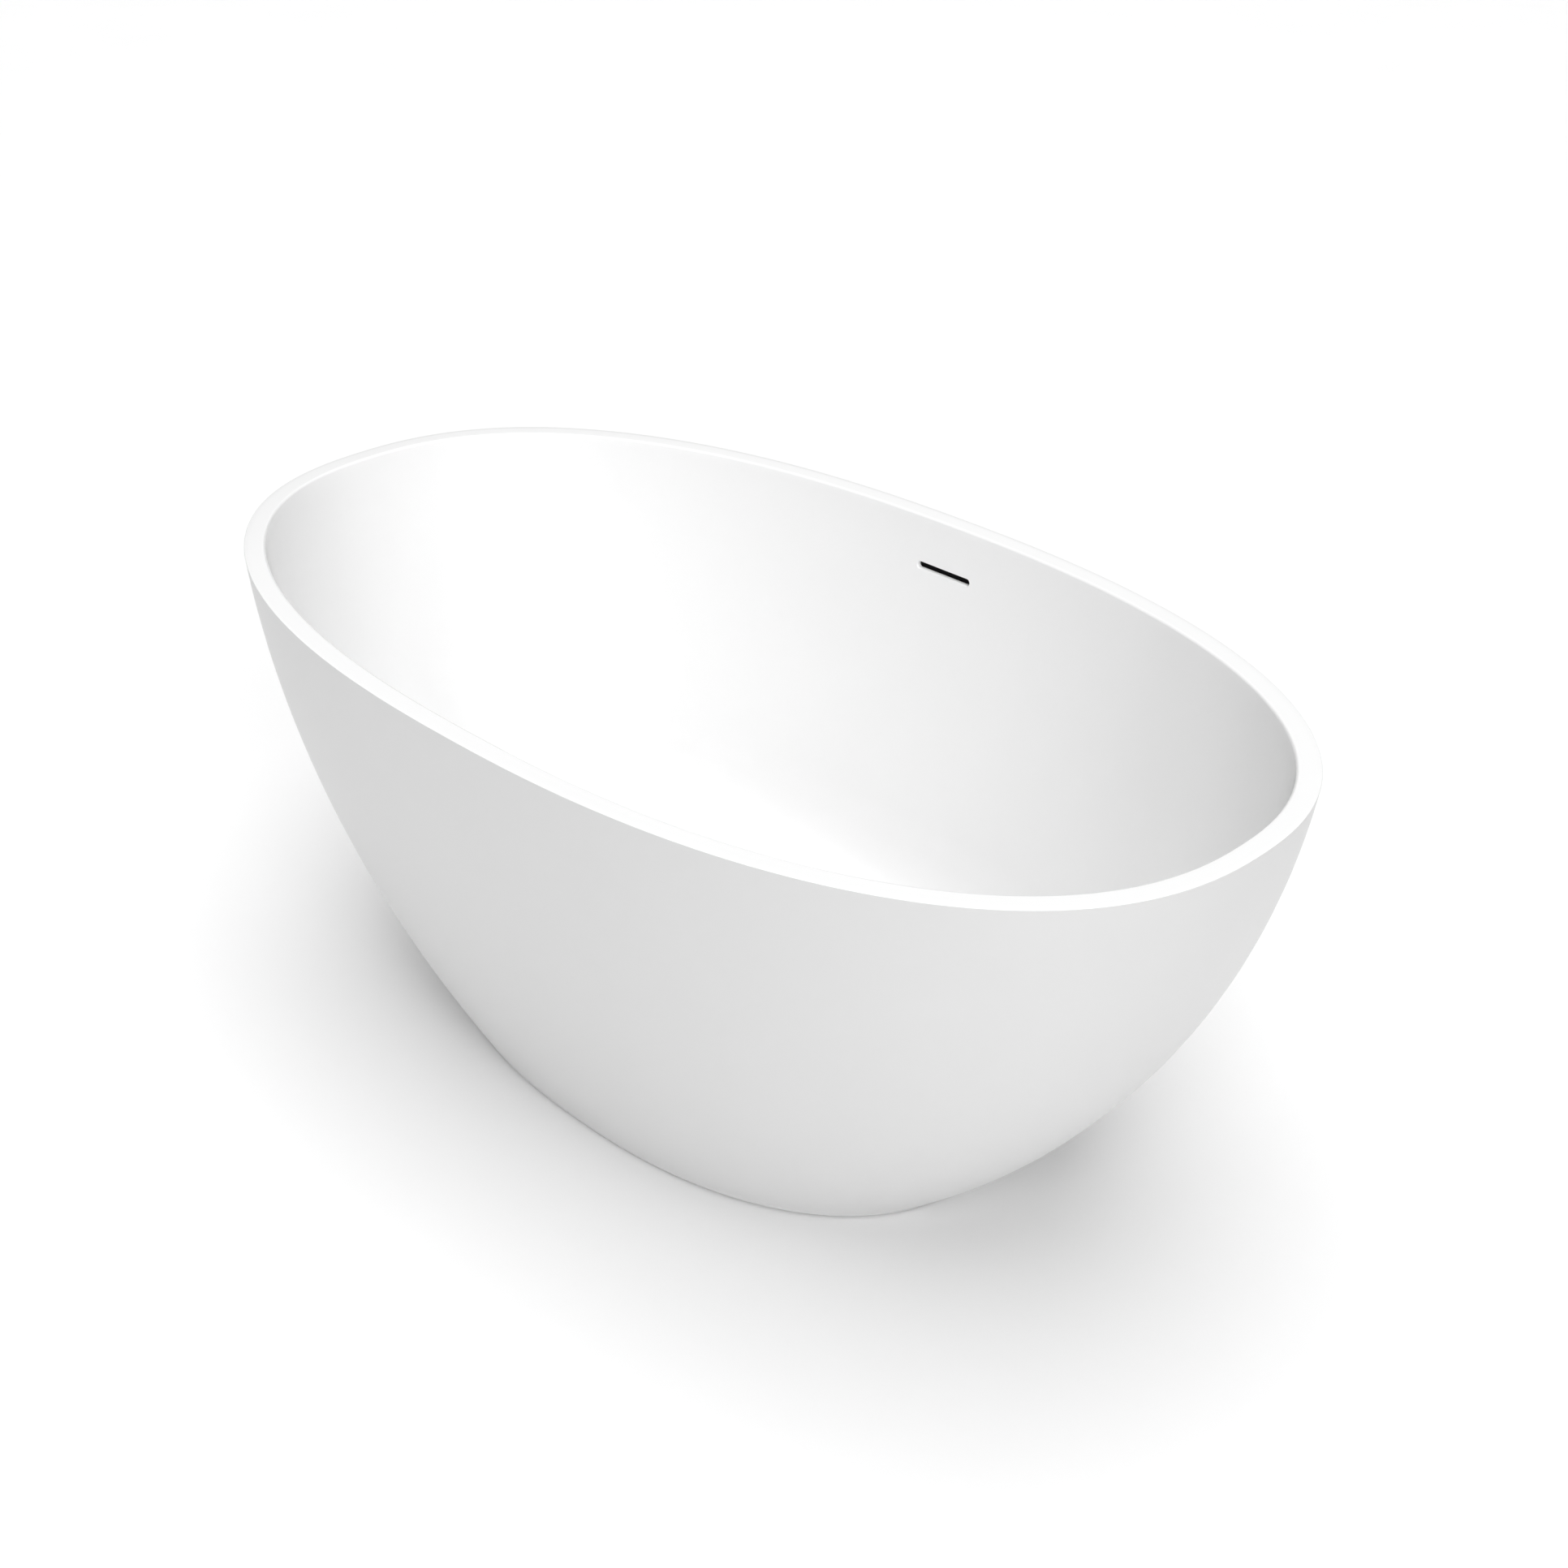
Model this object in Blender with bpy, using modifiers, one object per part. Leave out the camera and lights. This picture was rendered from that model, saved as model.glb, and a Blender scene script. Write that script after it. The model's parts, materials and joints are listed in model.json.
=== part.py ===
"""A freestanding oval bath: two oval skins joined under the rim, a steel cradle on four screw feet,
a push-to-open waste in the middle of the floor and a slot overflow in one long wall.

Metres, +Z up. The origin is on the floor under the middle of the bath, X runs along its length,
and the overflow slot is in the +Y wall.
"""

import math

import bmesh
import bpy
from mathutils import Matrix, Vector

# ---------------------------------------------------------------- overall sizes
RIM_LENGTH = 1.500
RIM_WIDTH = 0.836
RIM_HEIGHT = 0.602
BASE_LENGTH = 0.838
BASE_WIDTH = 0.541
END_BULGE = 0.0657  # how far the end wall's arc stands out from its chord
SIDE_BULGE = 0.0307  # the same for the long walls
OVAL_POWER = 2.31  # 2 is an ellipse, and a larger power is a fuller oval
RIM_FLAT = 0.0263  # width of the level rim

# ---------------------------------------------------------------- skins
GAP = 0.0003  # between pieces that touch
CUTTER_PAST = 0.010  # how far a cutter runs past the face it leaves
BASIN_WALL = 0.006
SKIRT_WALL = 0.006
SKIRT_CLEARANCE = 0.002  # the skirt's lower edge above the floor
SKIRT_EDGE_RADIUS = 0.004
SKIRT_FLANGE = 0.035  # how far the skirt turns in at its foot
RIM_EDGE_RADIUS = 0.004
LEAST_EDGE = 0.001  # of a rounded edge's hidden side
FLOOR_HEIGHT = 0.140  # inside floor above the ground, at its edge
FLOOR_LENGTH = 0.980  # where the inner end walls would meet the floor without a fillet
FLOOR_WIDTH = 0.540
FLOOR_FILLET = 0.070
FLOOR_FALL = 0.004  # towards the waste
INNER_END_BULGE = 0.050
INNER_SIDE_BULGE = 0.022
BATTEN_HEIGHT = 0.020
BATTEN_CLEARANCE = 0.0020

# ---------------------------------------------------------------- overflow
SLOT_LENGTH = 0.089
SLOT_HEIGHT = 0.009
SLOT_BELOW_RIM = 0.067
OVERFLOW_GASKET = 0.0015
GASKET_MARGIN = 0.009  # of the gasket round the slot
GASKET_MOUTH_MARGIN = 0.002
DUCT_WALL = 0.0016
DUCT_MOUTH_MARGIN = 0.003
DUCT_SIDE_MARGIN = 0.0095
DUCT_SKIRT_CLEARANCE = 0.0015
DUCT_SHOULDER_POWER = 6.0
DUCT_WAIST_POWER = 4.0
DUCT_TOP_ABOVE_SLOT = 0.018
DUCT_SHOULDER_BELOW_SLOT = 0.020
DUCT_TAPER = 0.205  # least height over which the duct narrows to its spigot
DUCT_TAPER_STEP = 0.005
HOSE_RADIUS = 0.0095
HOSE_WALL = 0.0020
HOSE_BEND_START = 0.003  # the hose runs straight this far past each spigot
SPIGOT_CLEARANCE = 0.0005
SPIGOT_LENGTH = 0.022
HOSE_DROPS = (0.3, 0.5, 0.7)  # shares of the way from the duct's neck down to where the hose turns in
HOSE_TURN = ((0.020, 0.0676), (0.075, 0.012), (0.150, 0.0))  # (back from the wall, above the inlet)
HOSE_SKIRT_CLEARANCE = 0.0018
CLIP_CLEARANCE = 0.0006
CLIP_BAND = 0.0012
CLIP_WIDTH = 0.009
CLIP_HOUSING_WIDTH = 0.004
CLIP_HOUSING_LENGTH = 0.012
CLIP_HOUSING_SHARE = 0.8  # of the band's width

# ---------------------------------------------------------------- waste
WASTE_HOLE_RADIUS = 0.026
WASTE_RECESS_RADIUS = 0.038
WASTE_RECESS_DEPTH = 0.006
WASTE_RECESS_FLARE = 0.002
FLANGE_RADIUS = 0.035
FLANGE_THICKNESS = 0.003
FLANGE_EDGE = 0.001
FLANGE_MOUTH = 0.002  # chamfer where the water runs in
FLANGE_SEAL = 0.0015
FLANGE_SEAL_CLEARANCE = 0.001
THROAT_RADIUS = 0.0235
THROAT_WALL = 0.003
THROAT_LENGTH = 0.040
BOSS_RADIUS = 0.0120
BOSS_HEIGHT = 0.012
SPOKE_WIDTH = 0.003
SPOKE_SHARE = 0.6  # of the boss's height
SPOKE_BITE = 0.001  # how far a spoke runs into the throat's wall
BODY_GASKET = 0.003
BODY_GASKET_CLEARANCE = 0.0015
BODY_RADIUS = 0.030
BODY_WALL = 0.0035
BODY_FLANGE_RADIUS = 0.040
BODY_FLANGE_THICKNESS = 0.007
BODY_DEPTH = 0.068
OUTLET_RADIUS = 0.0225
OUTLET_BORE = 0.0190
OUTLET_LENGTH = 0.016
WASHER_THICKNESS = 0.0022
TAIL_RADIUS = 0.0175
TAIL_WALL = 0.0015
TAIL_COLLAR = 0.0020
TAIL_COLLAR_RADIUS = 0.0215
TAIL_CLEARANCE = 0.008  # the tail pipe's end above the floor
COUPLING_RADIUS = 0.0280
COUPLING_LIP = 0.0030
COUPLING_GRIP = 0.012
INLET_ABOVE_BODY_BOTTOM = 0.020
COLLAR_DEPTH = 0.022

# ---------------------------------------------------------------- push plug
PLUG_RADIUS = 0.031
PLUG_EDGE = 0.002
PLUG_DOME = 0.004
PLUG_TRAVEL = 0.008
PLUG_SEAL_RADIUS = 0.027
PLUG_SEAL_WIDTH = 0.005
PLUG_SEAL = 0.0021
STEM_RADIUS = 0.0030
PISTON_RADIUS = 0.0058
PISTON_HEIGHT = 0.0015
PISTON_CLEARANCE = 0.0005
STEM_ABOVE_CARTRIDGE_BOTTOM = 0.010
CARTRIDGE_ABOVE_FLANGE_FOOT = 0.0012
CARTRIDGE_FLOOR = 0.002
CARTRIDGE_RADIUS = 0.0084
CARTRIDGE_WALL = 0.0019
CARTRIDGE_CAP = 0.003
CARTRIDGE_LENGTH = 0.043
SPRING_RADIUS = 0.0046
SPRING_WIRE = 0.0006
SPRING_TURNS = 6

# ---------------------------------------------------------------- cradle and feet
BOARD_THICKNESS = 0.0117
BOARD_END_MARGIN = 0.070  # from the board's end to where the basin's fillet starts
BOARD_SIDE_MARGIN = 0.030
BOARD_POWER = 4.0
BOARD_HOLE_RADIUS = 0.055
TUBE = 0.025  # square steel tube
TUBE_WALL = 0.0015
RAIL_OVERHANG = 0.0575  # of a rail past a cross bar
RAIL_SPACING = 0.220
BAR_FROM_BASE_END = 0.139
CAP_FLANGE = 0.002
CAP_PLUG = 0.010
FOOT_FROM_BAR_END = 0.040
FOOT_TRAVEL = 0.012
STUD_RADIUS = 0.006
STUD_SPARE = 0.002  # of the stud above its lock nut when the foot is right out
STUD_HEX_ACROSS = 0.019
STUD_HEX_HEIGHT = 0.008
NUT_ACROSS = 0.019
NUT_HEIGHT = 0.008
PAD_RADIUS = 0.0225
PAD_HEIGHT = 0.012
PAD_EDGE = 0.003
BRACKET_WIDTH = 0.024
BRACKET_THICKNESS = 0.003
BRACKET_LEDGE = 0.022
BRACKET_SKIRT_CLEARANCE = 0.004
SCREW_RADIUS = 0.003
SCREW_HEAD_RADIUS = 0.0055
SCREW_HEAD_HEIGHT = 0.003
SCREW_FLOOR_CLEARANCE = 0.0005  # of its tip above the skirt's underside
SCREW_CLEARANCE = 0.0004

# ---------------------------------------------------------------- fineness of the round shapes
OVAL_STEPS = 64
ROUND_STEPS = 24
SMALL_STEPS = 12
WALL_RINGS = 8
FILLET_RINGS = 4
HOSE_SPACING = 0.014

# ---------------------------------------------------------------- places that follow from those sizes
BAR_SPACING = BASE_LENGTH - 2 * BAR_FROM_BASE_END
RAIL_LENGTH = BAR_SPACING + TUBE + 2 * RAIL_OVERHANG
BOARD_HALF_LENGTH = FLOOR_LENGTH / 2 - FLOOR_FILLET - BOARD_END_MARGIN
BOARD_HALF_WIDTH = FLOOR_WIDTH / 2 - FLOOR_FILLET - BOARD_SIDE_MARGIN
LIP_BOTTOM = RIM_HEIGHT - BASIN_WALL
DISH_HEIGHT = FLOOR_HEIGHT - FLOOR_FALL
SEAT_HEIGHT = DISH_HEIGHT - WASTE_RECESS_DEPTH
SEAT_UNDERSIDE = SEAT_HEIGHT - BASIN_WALL
FLANGE_BOTTOM = SEAT_HEIGHT + FLANGE_SEAL + 2 * GAP
FLANGE_TOP = FLANGE_BOTTOM + FLANGE_THICKNESS
THROAT_BOTTOM = FLANGE_BOTTOM - THROAT_LENGTH
PLUG_BOTTOM = FLANGE_TOP + PLUG_SEAL + 2 * GAP
BODY_TOP = SEAT_UNDERSIDE - BODY_GASKET - 2 * GAP
BODY_BOTTOM = BODY_TOP - BODY_DEPTH
INLET_HEIGHT = BODY_BOTTOM + INLET_ABOVE_BODY_BOTTOM
CARTRIDGE_TOP = FLANGE_BOTTOM + CARTRIDGE_ABOVE_FLANGE_FOOT
CARTRIDGE_BOTTOM = CARTRIDGE_TOP - CARTRIDGE_LENGTH
PISTON_TOP = CARTRIDGE_TOP - CARTRIDGE_CAP - PLUG_TRAVEL - PISTON_CLEARANCE
BOARD_TOP = DISH_HEIGHT - BASIN_WALL - GAP
RAIL_TOP = BOARD_TOP - BOARD_THICKNESS - GAP
BAR_TOP = RAIL_TOP - TUBE - GAP
BAR_BOTTOM = BAR_TOP - TUBE
STUD_TOP = BAR_TOP + GAP + NUT_HEIGHT + FOOT_TRAVEL + STUD_SPARE
SLOT_HEIGHT_ABOVE_GROUND = RIM_HEIGHT - SLOT_BELOW_RIM
OUTLET_BOTTOM = BODY_BOTTOM - OUTLET_LENGTH


# ---------------------------------------------------------------- materials and collections
def finish(name, color, roughness, metallic=0.0):
    """A Principled material."""
    made = bpy.data.materials.new(name)
    made.use_nodes = True
    shader = made.node_tree.nodes["Principled BSDF"]
    shader.inputs["Base Color"].default_value = (*color, 1.0)
    shader.inputs["Roughness"].default_value = roughness
    shader.inputs["Metallic"].default_value = metallic
    return made


def clear_scene():
    for obj in list(bpy.data.objects):
        bpy.data.objects.remove(obj, do_unlink=True)


def collection(name):
    made = bpy.data.collections.new(name)
    bpy.context.scene.collection.children.link(made)
    return made


clear_scene()
BATH = collection("oval_bath")
CUTTERS = collection("cutters")

ACRYLIC = finish("white_acrylic", (0.93, 0.93, 0.93), 0.12)
BOARD = finish("resin_coated_board", (0.55, 0.43, 0.28), 0.75)
STEEL = finish("zinc_plated_steel", (0.62, 0.64, 0.66), 0.35, 1.0)
CHROME = finish("chrome", (0.82, 0.83, 0.85), 0.08, 1.0)
BLACK_PLASTIC = finish("black_plastic", (0.03, 0.03, 0.03), 0.45)
WHITE_PLASTIC = finish("white_plastic", (0.86, 0.86, 0.84), 0.40)
GREY_HOSE = finish("grey_hose", (0.45, 0.46, 0.47), 0.55)
RUBBER = finish("black_rubber", (0.02, 0.02, 0.02), 0.80)


# ---------------------------------------------------------------- building helpers
def add_object(name, mesh, material, home=None):
    """Links a mesh as a named object in the bath, or in another collection."""
    obj = bpy.data.objects.new(name, mesh)
    (home or BATH).objects.link(obj)
    if material:
        mesh.materials.append(material)
    mesh.shade_smooth()
    mesh.set_sharp_from_angle(angle=math.radians(35))
    return obj


def mesh_from(name, build):
    """A mesh filled by build(bm), with its faces turned outwards."""
    bm = bmesh.new()
    build(bm)
    bmesh.ops.recalc_face_normals(bm, faces=bm.faces)
    mesh = bpy.data.meshes.new(name)
    bm.to_mesh(mesh)
    bm.free()
    return mesh


def oval_point(angle, half_x, half_y, power):
    """A point of a superellipse."""
    c, s = math.cos(angle), math.sin(angle)
    share = 2 / power
    x = half_x * math.copysign(abs(c) ** share, c)
    y = half_y * math.copysign(abs(s) ** share, s)
    return x, y


def oval_width_at(x, half_x, half_y, power):
    """The half width of a superellipse at x along it."""
    return half_y * (1 - abs(x / half_x) ** power) ** (1 / power)


def add_ring(bm, section, steps):
    """One ring of vertices. A section is (half_x, half_y, z, power, centre_y)."""
    half_x, half_y, z, power, centre_y = section
    ring = []
    for step in range(steps):
        x, y = oval_point(2 * math.pi * step / steps, half_x, half_y, power)
        ring.append(bm.verts.new((x, y + centre_y, z)))
    return ring


def bridge(bm, lower, upper):
    for i, vert in enumerate(lower):
        after = (i + 1) % len(lower)
        bm.faces.new((vert, lower[after], upper[after], upper[i]))


def oval_shell(name, sections, material):
    """A wall swept right round an oval. Its sections go round the wall's own outline and close."""

    def build(bm):
        rings = [add_ring(bm, section, OVAL_STEPS) for section in sections]
        for ring, following in zip(rings, rings[1:] + rings[:1]):
            bridge(bm, ring, following)

    return add_object(name, mesh_from(name, build), material)


def oval_loft(name, sections, material, steps=SMALL_STEPS, home=None):
    """A solid through a stack of ovals, closed at both ends."""

    def build(bm):
        rings = [add_ring(bm, section, steps) for section in sections]
        for ring, following in zip(rings, rings[1:]):
            bridge(bm, ring, following)
        bm.faces.new(rings[0])
        bm.faces.new(rings[-1])

    return add_object(name, mesh_from(name, build), material, home)


def turned(name, profile, material, steps=ROUND_STEPS, at=(0, 0, 0), closed=True, home=None):
    """A turned piece. The profile is (radius, height) pairs, and its outer side runs from top to bottom.
    A closed one is a ring, and an open one starts and ends on the axis."""
    mesh = bpy.data.meshes.new(name)
    edges = [(i, i + 1) for i in range(len(profile) - 1)]
    if closed:
        edges.append((len(profile) - 1, 0))
    mesh.from_pydata([(radius, 0, height) for radius, height in profile], edges, [])
    obj = add_object(name, mesh, material, home)
    obj.location = at
    screw = obj.modifiers.new("turn", "SCREW")
    screw.axis = "Z"
    screw.angle = 2 * math.pi
    screw.steps = screw.render_steps = steps
    screw.use_merge_vertices = True
    screw.merge_threshold = 0.00001
    screw.use_smooth_shade = False
    return obj


def box(name, size, centre, material, home=None):
    """A rectangular block."""

    def build(bm):
        place = Matrix.Translation(centre) @ Matrix.Diagonal((*size, 1))
        bmesh.ops.create_cube(bm, size=1, matrix=place)

    return add_object(name, mesh_from(name, build), material, home)


def prism(name, radius, bottom, top, at, material=None, steps=ROUND_STEPS, turn=None, home=None):
    """A cylinder, or a hexagonal prism when steps is 6. It stands along Z unless it is turned."""

    def build(bm):
        place = Matrix.Translation((0, 0, (bottom + top) / 2))
        bmesh.ops.create_cone(
            bm, cap_ends=True, segments=steps, radius1=radius, radius2=radius,
            depth=top - bottom, matrix=place,
        )

    obj = add_object(name, mesh_from(name, build), material, home)
    obj.location = at
    if turn:
        obj.rotation_euler = turn
    return obj


def hide(cutter):
    cutter.hide_render = True
    cutter.display_type = "WIRE"
    return cutter


def boolean(obj, other, operation):
    modifier = obj.modifiers.new(operation.lower(), "BOOLEAN")
    modifier.operation = operation
    modifier.solver = "EXACT"
    modifier.object = hide(other)


def cut(obj, cutter):
    boolean(obj, cutter, "DIFFERENCE")


def join(obj, other):
    boolean(obj, other, "UNION")


def smooth_route(knots, spacing):
    """Points along a smooth curve through the knots (cubic Hermite)."""
    ends = [2 * knots[0] - knots[1], *knots, 2 * knots[-1] - knots[-2]]
    route = []
    for before, start, end, after in zip(ends, ends[1:], ends[2:], ends[3:]):
        chord = end - start
        towards = chord.normalized()
        leave = ((start - before).normalized() + towards).normalized() * chord.length
        arrive = (towards + (after - end).normalized()).normalized() * chord.length
        steps = max(1, round(chord.length / spacing))
        for step in range(steps):
            t = step / steps
            route.append(
                start * (2 * t**3 - 3 * t**2 + 1) + leave * (t**3 - 2 * t**2 + t)
                + end * (3 * t**2 - 2 * t**3) + arrive * (t**3 - t**2)
            )
    return [*route, knots[-1]]


def wire(name, route, radius, material, sides, caps, home=None):
    """A curve object along a route, with a round section."""
    data = bpy.data.curves.new(name, "CURVE")
    data.dimensions = "3D"
    data.bevel_depth = radius
    data.bevel_resolution = sides
    data.use_fill_caps = caps
    spline = data.splines.new("POLY")
    spline.points.add(len(route) - 1)
    for point, place in zip(spline.points, route):
        point.co = (*place, 1)
    obj = bpy.data.objects.new(name, data)
    (home or BATH).objects.link(obj)
    data.materials.append(material)
    return obj


# ---------------------------------------------------------------- the two skins' shapes
def arc_reach(z, low, high, reach_low, reach_high, bulge):
    """Distance out from the middle at height z, on an arc that bulges outwards between two heights."""
    rise, run = high - low, reach_high - reach_low
    chord = math.hypot(rise, run)
    radius = chord**2 / (8 * bulge) + bulge / 2
    back = radius - bulge
    centre_reach = (reach_low + reach_high) / 2 - back * rise / chord
    centre_z = (low + high) / 2 + back * run / chord
    return centre_reach + math.sqrt(radius**2 - (z - centre_z) ** 2)


def outside(z, inset=0.0):
    """(half length, half width) of the outer skin at a height, drawn in by inset."""
    half_x = arc_reach(z, 0, RIM_HEIGHT, BASE_LENGTH / 2, RIM_LENGTH / 2, END_BULGE)
    half_y = arc_reach(z, 0, RIM_HEIGHT, BASE_WIDTH / 2, RIM_WIDTH / 2, SIDE_BULGE)
    return half_x - inset, half_y - inset


def floor_draw_in(z, floor, radius):
    """How far the fillet at the floor draws the wall in at a height."""
    rise = min(max((z - floor) / radius, 0.0), 1.0)
    return radius * (1 - math.sqrt(1 - (1 - rise) ** 2))


def inside(z, behind=0.0):
    """(half length, half width) of the basin at a height: its visible face, or a face that far behind it."""
    rim_x, rim_y = RIM_LENGTH / 2 - RIM_FLAT, RIM_WIDTH / 2 - RIM_FLAT
    half_x = arc_reach(z, FLOOR_HEIGHT, RIM_HEIGHT, FLOOR_LENGTH / 2, rim_x, INNER_END_BULGE)
    half_y = arc_reach(z, FLOOR_HEIGHT, RIM_HEIGHT, FLOOR_WIDTH / 2, rim_y, INNER_SIDE_BULGE)
    drawn_in = floor_draw_in(z, FLOOR_HEIGHT - behind, FLOOR_FILLET + behind) - behind
    return half_x - drawn_in, half_y - drawn_in


def spread(start, end, count):
    """count heights from start to end, both included."""
    return [start + (end - start) * i / (count - 1) for i in range(count)]


def oval(size, z, power=OVAL_POWER):
    """A section of the bath at a height."""
    return (*size, z, power, 0.0)


def disc(radius, z):
    return (radius, radius, z, 2.0, 0.0)


# ---------------------------------------------------------------- shells
def basin_face(behind):
    """The basin's sections from its rim to its waste hole: its visible face, or the face behind it."""
    top, floor, fillet = RIM_HEIGHT - behind, FLOOR_HEIGHT - behind, FLOOR_FILLET + behind
    edge = max(RIM_EDGE_RADIUS - behind, LEAST_EDGE)
    sections = [oval(outside(RIM_HEIGHT), top)]
    flat_x, flat_y = inside(top, behind)
    for angle in (90, 45, 0):
        turn = math.radians(angle)
        out = edge * (1 - math.cos(turn))
        down = edge * (1 - math.sin(turn))
        sections.append(oval((flat_x + out, flat_y + out), top - down))
    for z in spread(top - edge, floor + fillet, WALL_RINGS)[1:]:
        sections.append(oval(inside(z, behind), z))
    for i in range(1, FILLET_RINGS + 1):
        z = floor + fillet * (1 - math.sin(math.pi / 2 * i / FILLET_RINGS))
        sections.append(oval(inside(z, behind), z))
    recess = WASTE_RECESS_RADIUS + behind
    sections.append(disc(recess + WASTE_RECESS_FLARE, DISH_HEIGHT - behind))
    sections.append(disc(recess, SEAT_HEIGHT - behind))
    sections.append(disc(WASTE_HOLE_RADIUS, SEAT_HEIGHT - behind))
    return sections


def slot_cutter(name, length, height, depth_from, depth_to):
    """A round-ended bar through the +Y wall at the overflow."""
    middle = (depth_from + depth_to) / 2
    depth = depth_to - depth_from
    bar = box(name, (length - height, depth, height), (0, middle, SLOT_HEIGHT_ABOVE_GROUND), None, CUTTERS)
    for side in (-1, 1):
        end = prism(
            f"{name}_end_{side + 1}", height / 2, -depth / 2, depth / 2,
            (side * (length - height) / 2, middle, SLOT_HEIGHT_ABOVE_GROUND),
            steps=SMALL_STEPS, turn=(math.pi / 2, 0, 0), home=CUTTERS,
        )
        join(bar, end)
    return bar


def make_basin():
    basin = oval_shell("basin", basin_face(0.0) + basin_face(BASIN_WALL)[::-1], ACRYLIC)
    wall_y = inside(SLOT_HEIGHT_ABOVE_GROUND)[1]
    slot = slot_cutter("slot_cutter", SLOT_LENGTH, SLOT_HEIGHT, wall_y - CUTTER_PAST, wall_y + CUTTER_PAST)
    cut(basin, slot)


def make_skirt():
    """The outer skin, turned in at its foot."""
    top, bottom = LIP_BOTTOM - GAP, SKIRT_CLEARANCE
    sections = [oval(outside(z), z) for z in spread(top, bottom + SKIRT_EDGE_RADIUS, WALL_RINGS)]
    foot_x, foot_y = outside(bottom + SKIRT_EDGE_RADIUS)
    for angle in (45, 90):
        turn = math.radians(angle)
        draw_in = SKIRT_EDGE_RADIUS * (1 - math.cos(turn))
        z = bottom + SKIRT_EDGE_RADIUS * (1 - math.sin(turn))
        sections.append(oval((foot_x - draw_in, foot_y - draw_in), z))
    lip_x, lip_y = outside(0, SKIRT_FLANGE)
    sections.append(oval((lip_x, lip_y), bottom))
    sections.append(oval((lip_x, lip_y), bottom + SKIRT_WALL))
    for z in spread(bottom + SKIRT_WALL, top, WALL_RINGS):
        sections.append(oval(outside(z, SKIRT_WALL), z))
    skirt = oval_shell("outer_skirt", sections, ACRYLIC)
    for corner, x, _ in corners():
        hole = prism(
            f"skirt_hole_{corner}", SCREW_RADIUS + SCREW_CLEARANCE, -CUTTER_PAST, 2 * CUTTER_PAST,
            (x, bracket_screw_y(corner), 0), steps=SMALL_STEPS, home=CUTTERS,
        )
        cut(skirt, hole)


def make_rim_batten():
    """The strip that fills the rim between the two skins."""
    top = LIP_BOTTOM - GAP
    bottom = top - BATTEN_HEIGHT
    behind_basin = BASIN_WALL + BATTEN_CLEARANCE
    inside_skirt = SKIRT_WALL + BATTEN_CLEARANCE
    sections = [
        oval(outside(top, inside_skirt), top),
        oval(outside(bottom, inside_skirt), bottom),
        oval(inside(bottom, behind_basin), bottom),
        oval(inside(top, behind_basin), top),
    ]
    oval_shell("rim_batten", sections, BOARD)


# ---------------------------------------------------------------- cradle
def bracket_end():
    """How far across the bath a bracket reaches, just short of the skirt."""
    foot_bottom = SKIRT_CLEARANCE + SKIRT_WALL + GAP
    half_x, half_y = outside(foot_bottom, SKIRT_WALL)
    widest_x = BAR_SPACING / 2 + BRACKET_WIDTH / 2
    return oval_width_at(widest_x, half_x, half_y, OVAL_POWER) - BRACKET_SKIRT_CLEARANCE


def bar_end():
    """How far across the bath a cross bar reaches."""
    return bracket_end() - BRACKET_LEDGE - GAP


def corners():
    """(name, x, y) of the four feet."""
    foot_y = bar_end() - FOOT_FROM_BAR_END
    for end, sign_x in (("left", -1), ("right", 1)):
        for side, sign_y in (("front", -1), ("back", 1)):
            yield f"{end}_{side}", sign_x * BAR_SPACING / 2, sign_y * foot_y


def square_tube(name, length, along, centre):
    """A steel tube with open ends, along X or Y."""
    lengthwise = Vector((1, 0, 0)) if along == "X" else Vector((0, 1, 0))
    crosswise = Vector((0, 1, 0)) if along == "X" else Vector((1, 0, 0))

    def build(bm):
        rings = []
        for end, half in ((-1, 0), (1, 0), (1, TUBE_WALL), (-1, TUBE_WALL)):
            reach = TUBE / 2 - half
            rings.append([
                bm.verts.new(
                    Vector(centre) + lengthwise * (end * length / 2)
                    + crosswise * (a * reach) + Vector((0, 0, b * reach))
                )
                for a, b in ((-1, -1), (1, -1), (1, 1), (-1, 1))
            ])
        for ring, following in zip(rings, rings[1:] + rings[:1]):
            bridge(bm, ring, following)

    return add_object(name, mesh_from(name, build), STEEL)


def make_floor_board():
    half_x, half_y = BOARD_HALF_LENGTH, BOARD_HALF_WIDTH
    bottom = BOARD_TOP - BOARD_THICKNESS
    board = oval_loft(
        "floor_board",
        [(half_x, half_y, z, BOARD_POWER, 0.0) for z in (bottom, BOARD_TOP)],
        BOARD, steps=OVAL_STEPS // 2,
    )
    hole = prism(
        "board_hole", BOARD_HOLE_RADIUS, bottom - CUTTER_PAST, BOARD_TOP + CUTTER_PAST,
        (0, 0, 0), home=CUTTERS,
    )
    cut(board, hole)


def make_rails():
    height = RAIL_TOP - TUBE / 2
    for side, sign in (("front", -1), ("back", 1)):
        y = sign * RAIL_SPACING / 2
        square_tube(f"frame_rail_{side}", RAIL_LENGTH, "X", (0, y, height))
        for end, way in (("left", -1), ("right", 1)):
            make_rail_cap(f"rail_cap_{side}_{end}", way, y, height)


def make_rail_cap(name, way, y, height):
    """A plastic plug in a rail's open end."""
    face = way * (RAIL_LENGTH / 2 + GAP)
    cap = box(name, (CAP_FLANGE, TUBE, TUBE), (face + way * CAP_FLANGE / 2, y, height), BLACK_PLASTIC)
    bore = TUBE - 2 * TUBE_WALL - 4 * GAP
    plug_centre = face + way * (CAP_FLANGE / 2 - (CAP_PLUG + CAP_FLANGE) / 2)
    plug_size = (CAP_PLUG + CAP_FLANGE, bore, bore)
    join(cap, box(f"{name}_plug", plug_size, (plug_centre, y, height), None, CUTTERS))


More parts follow.
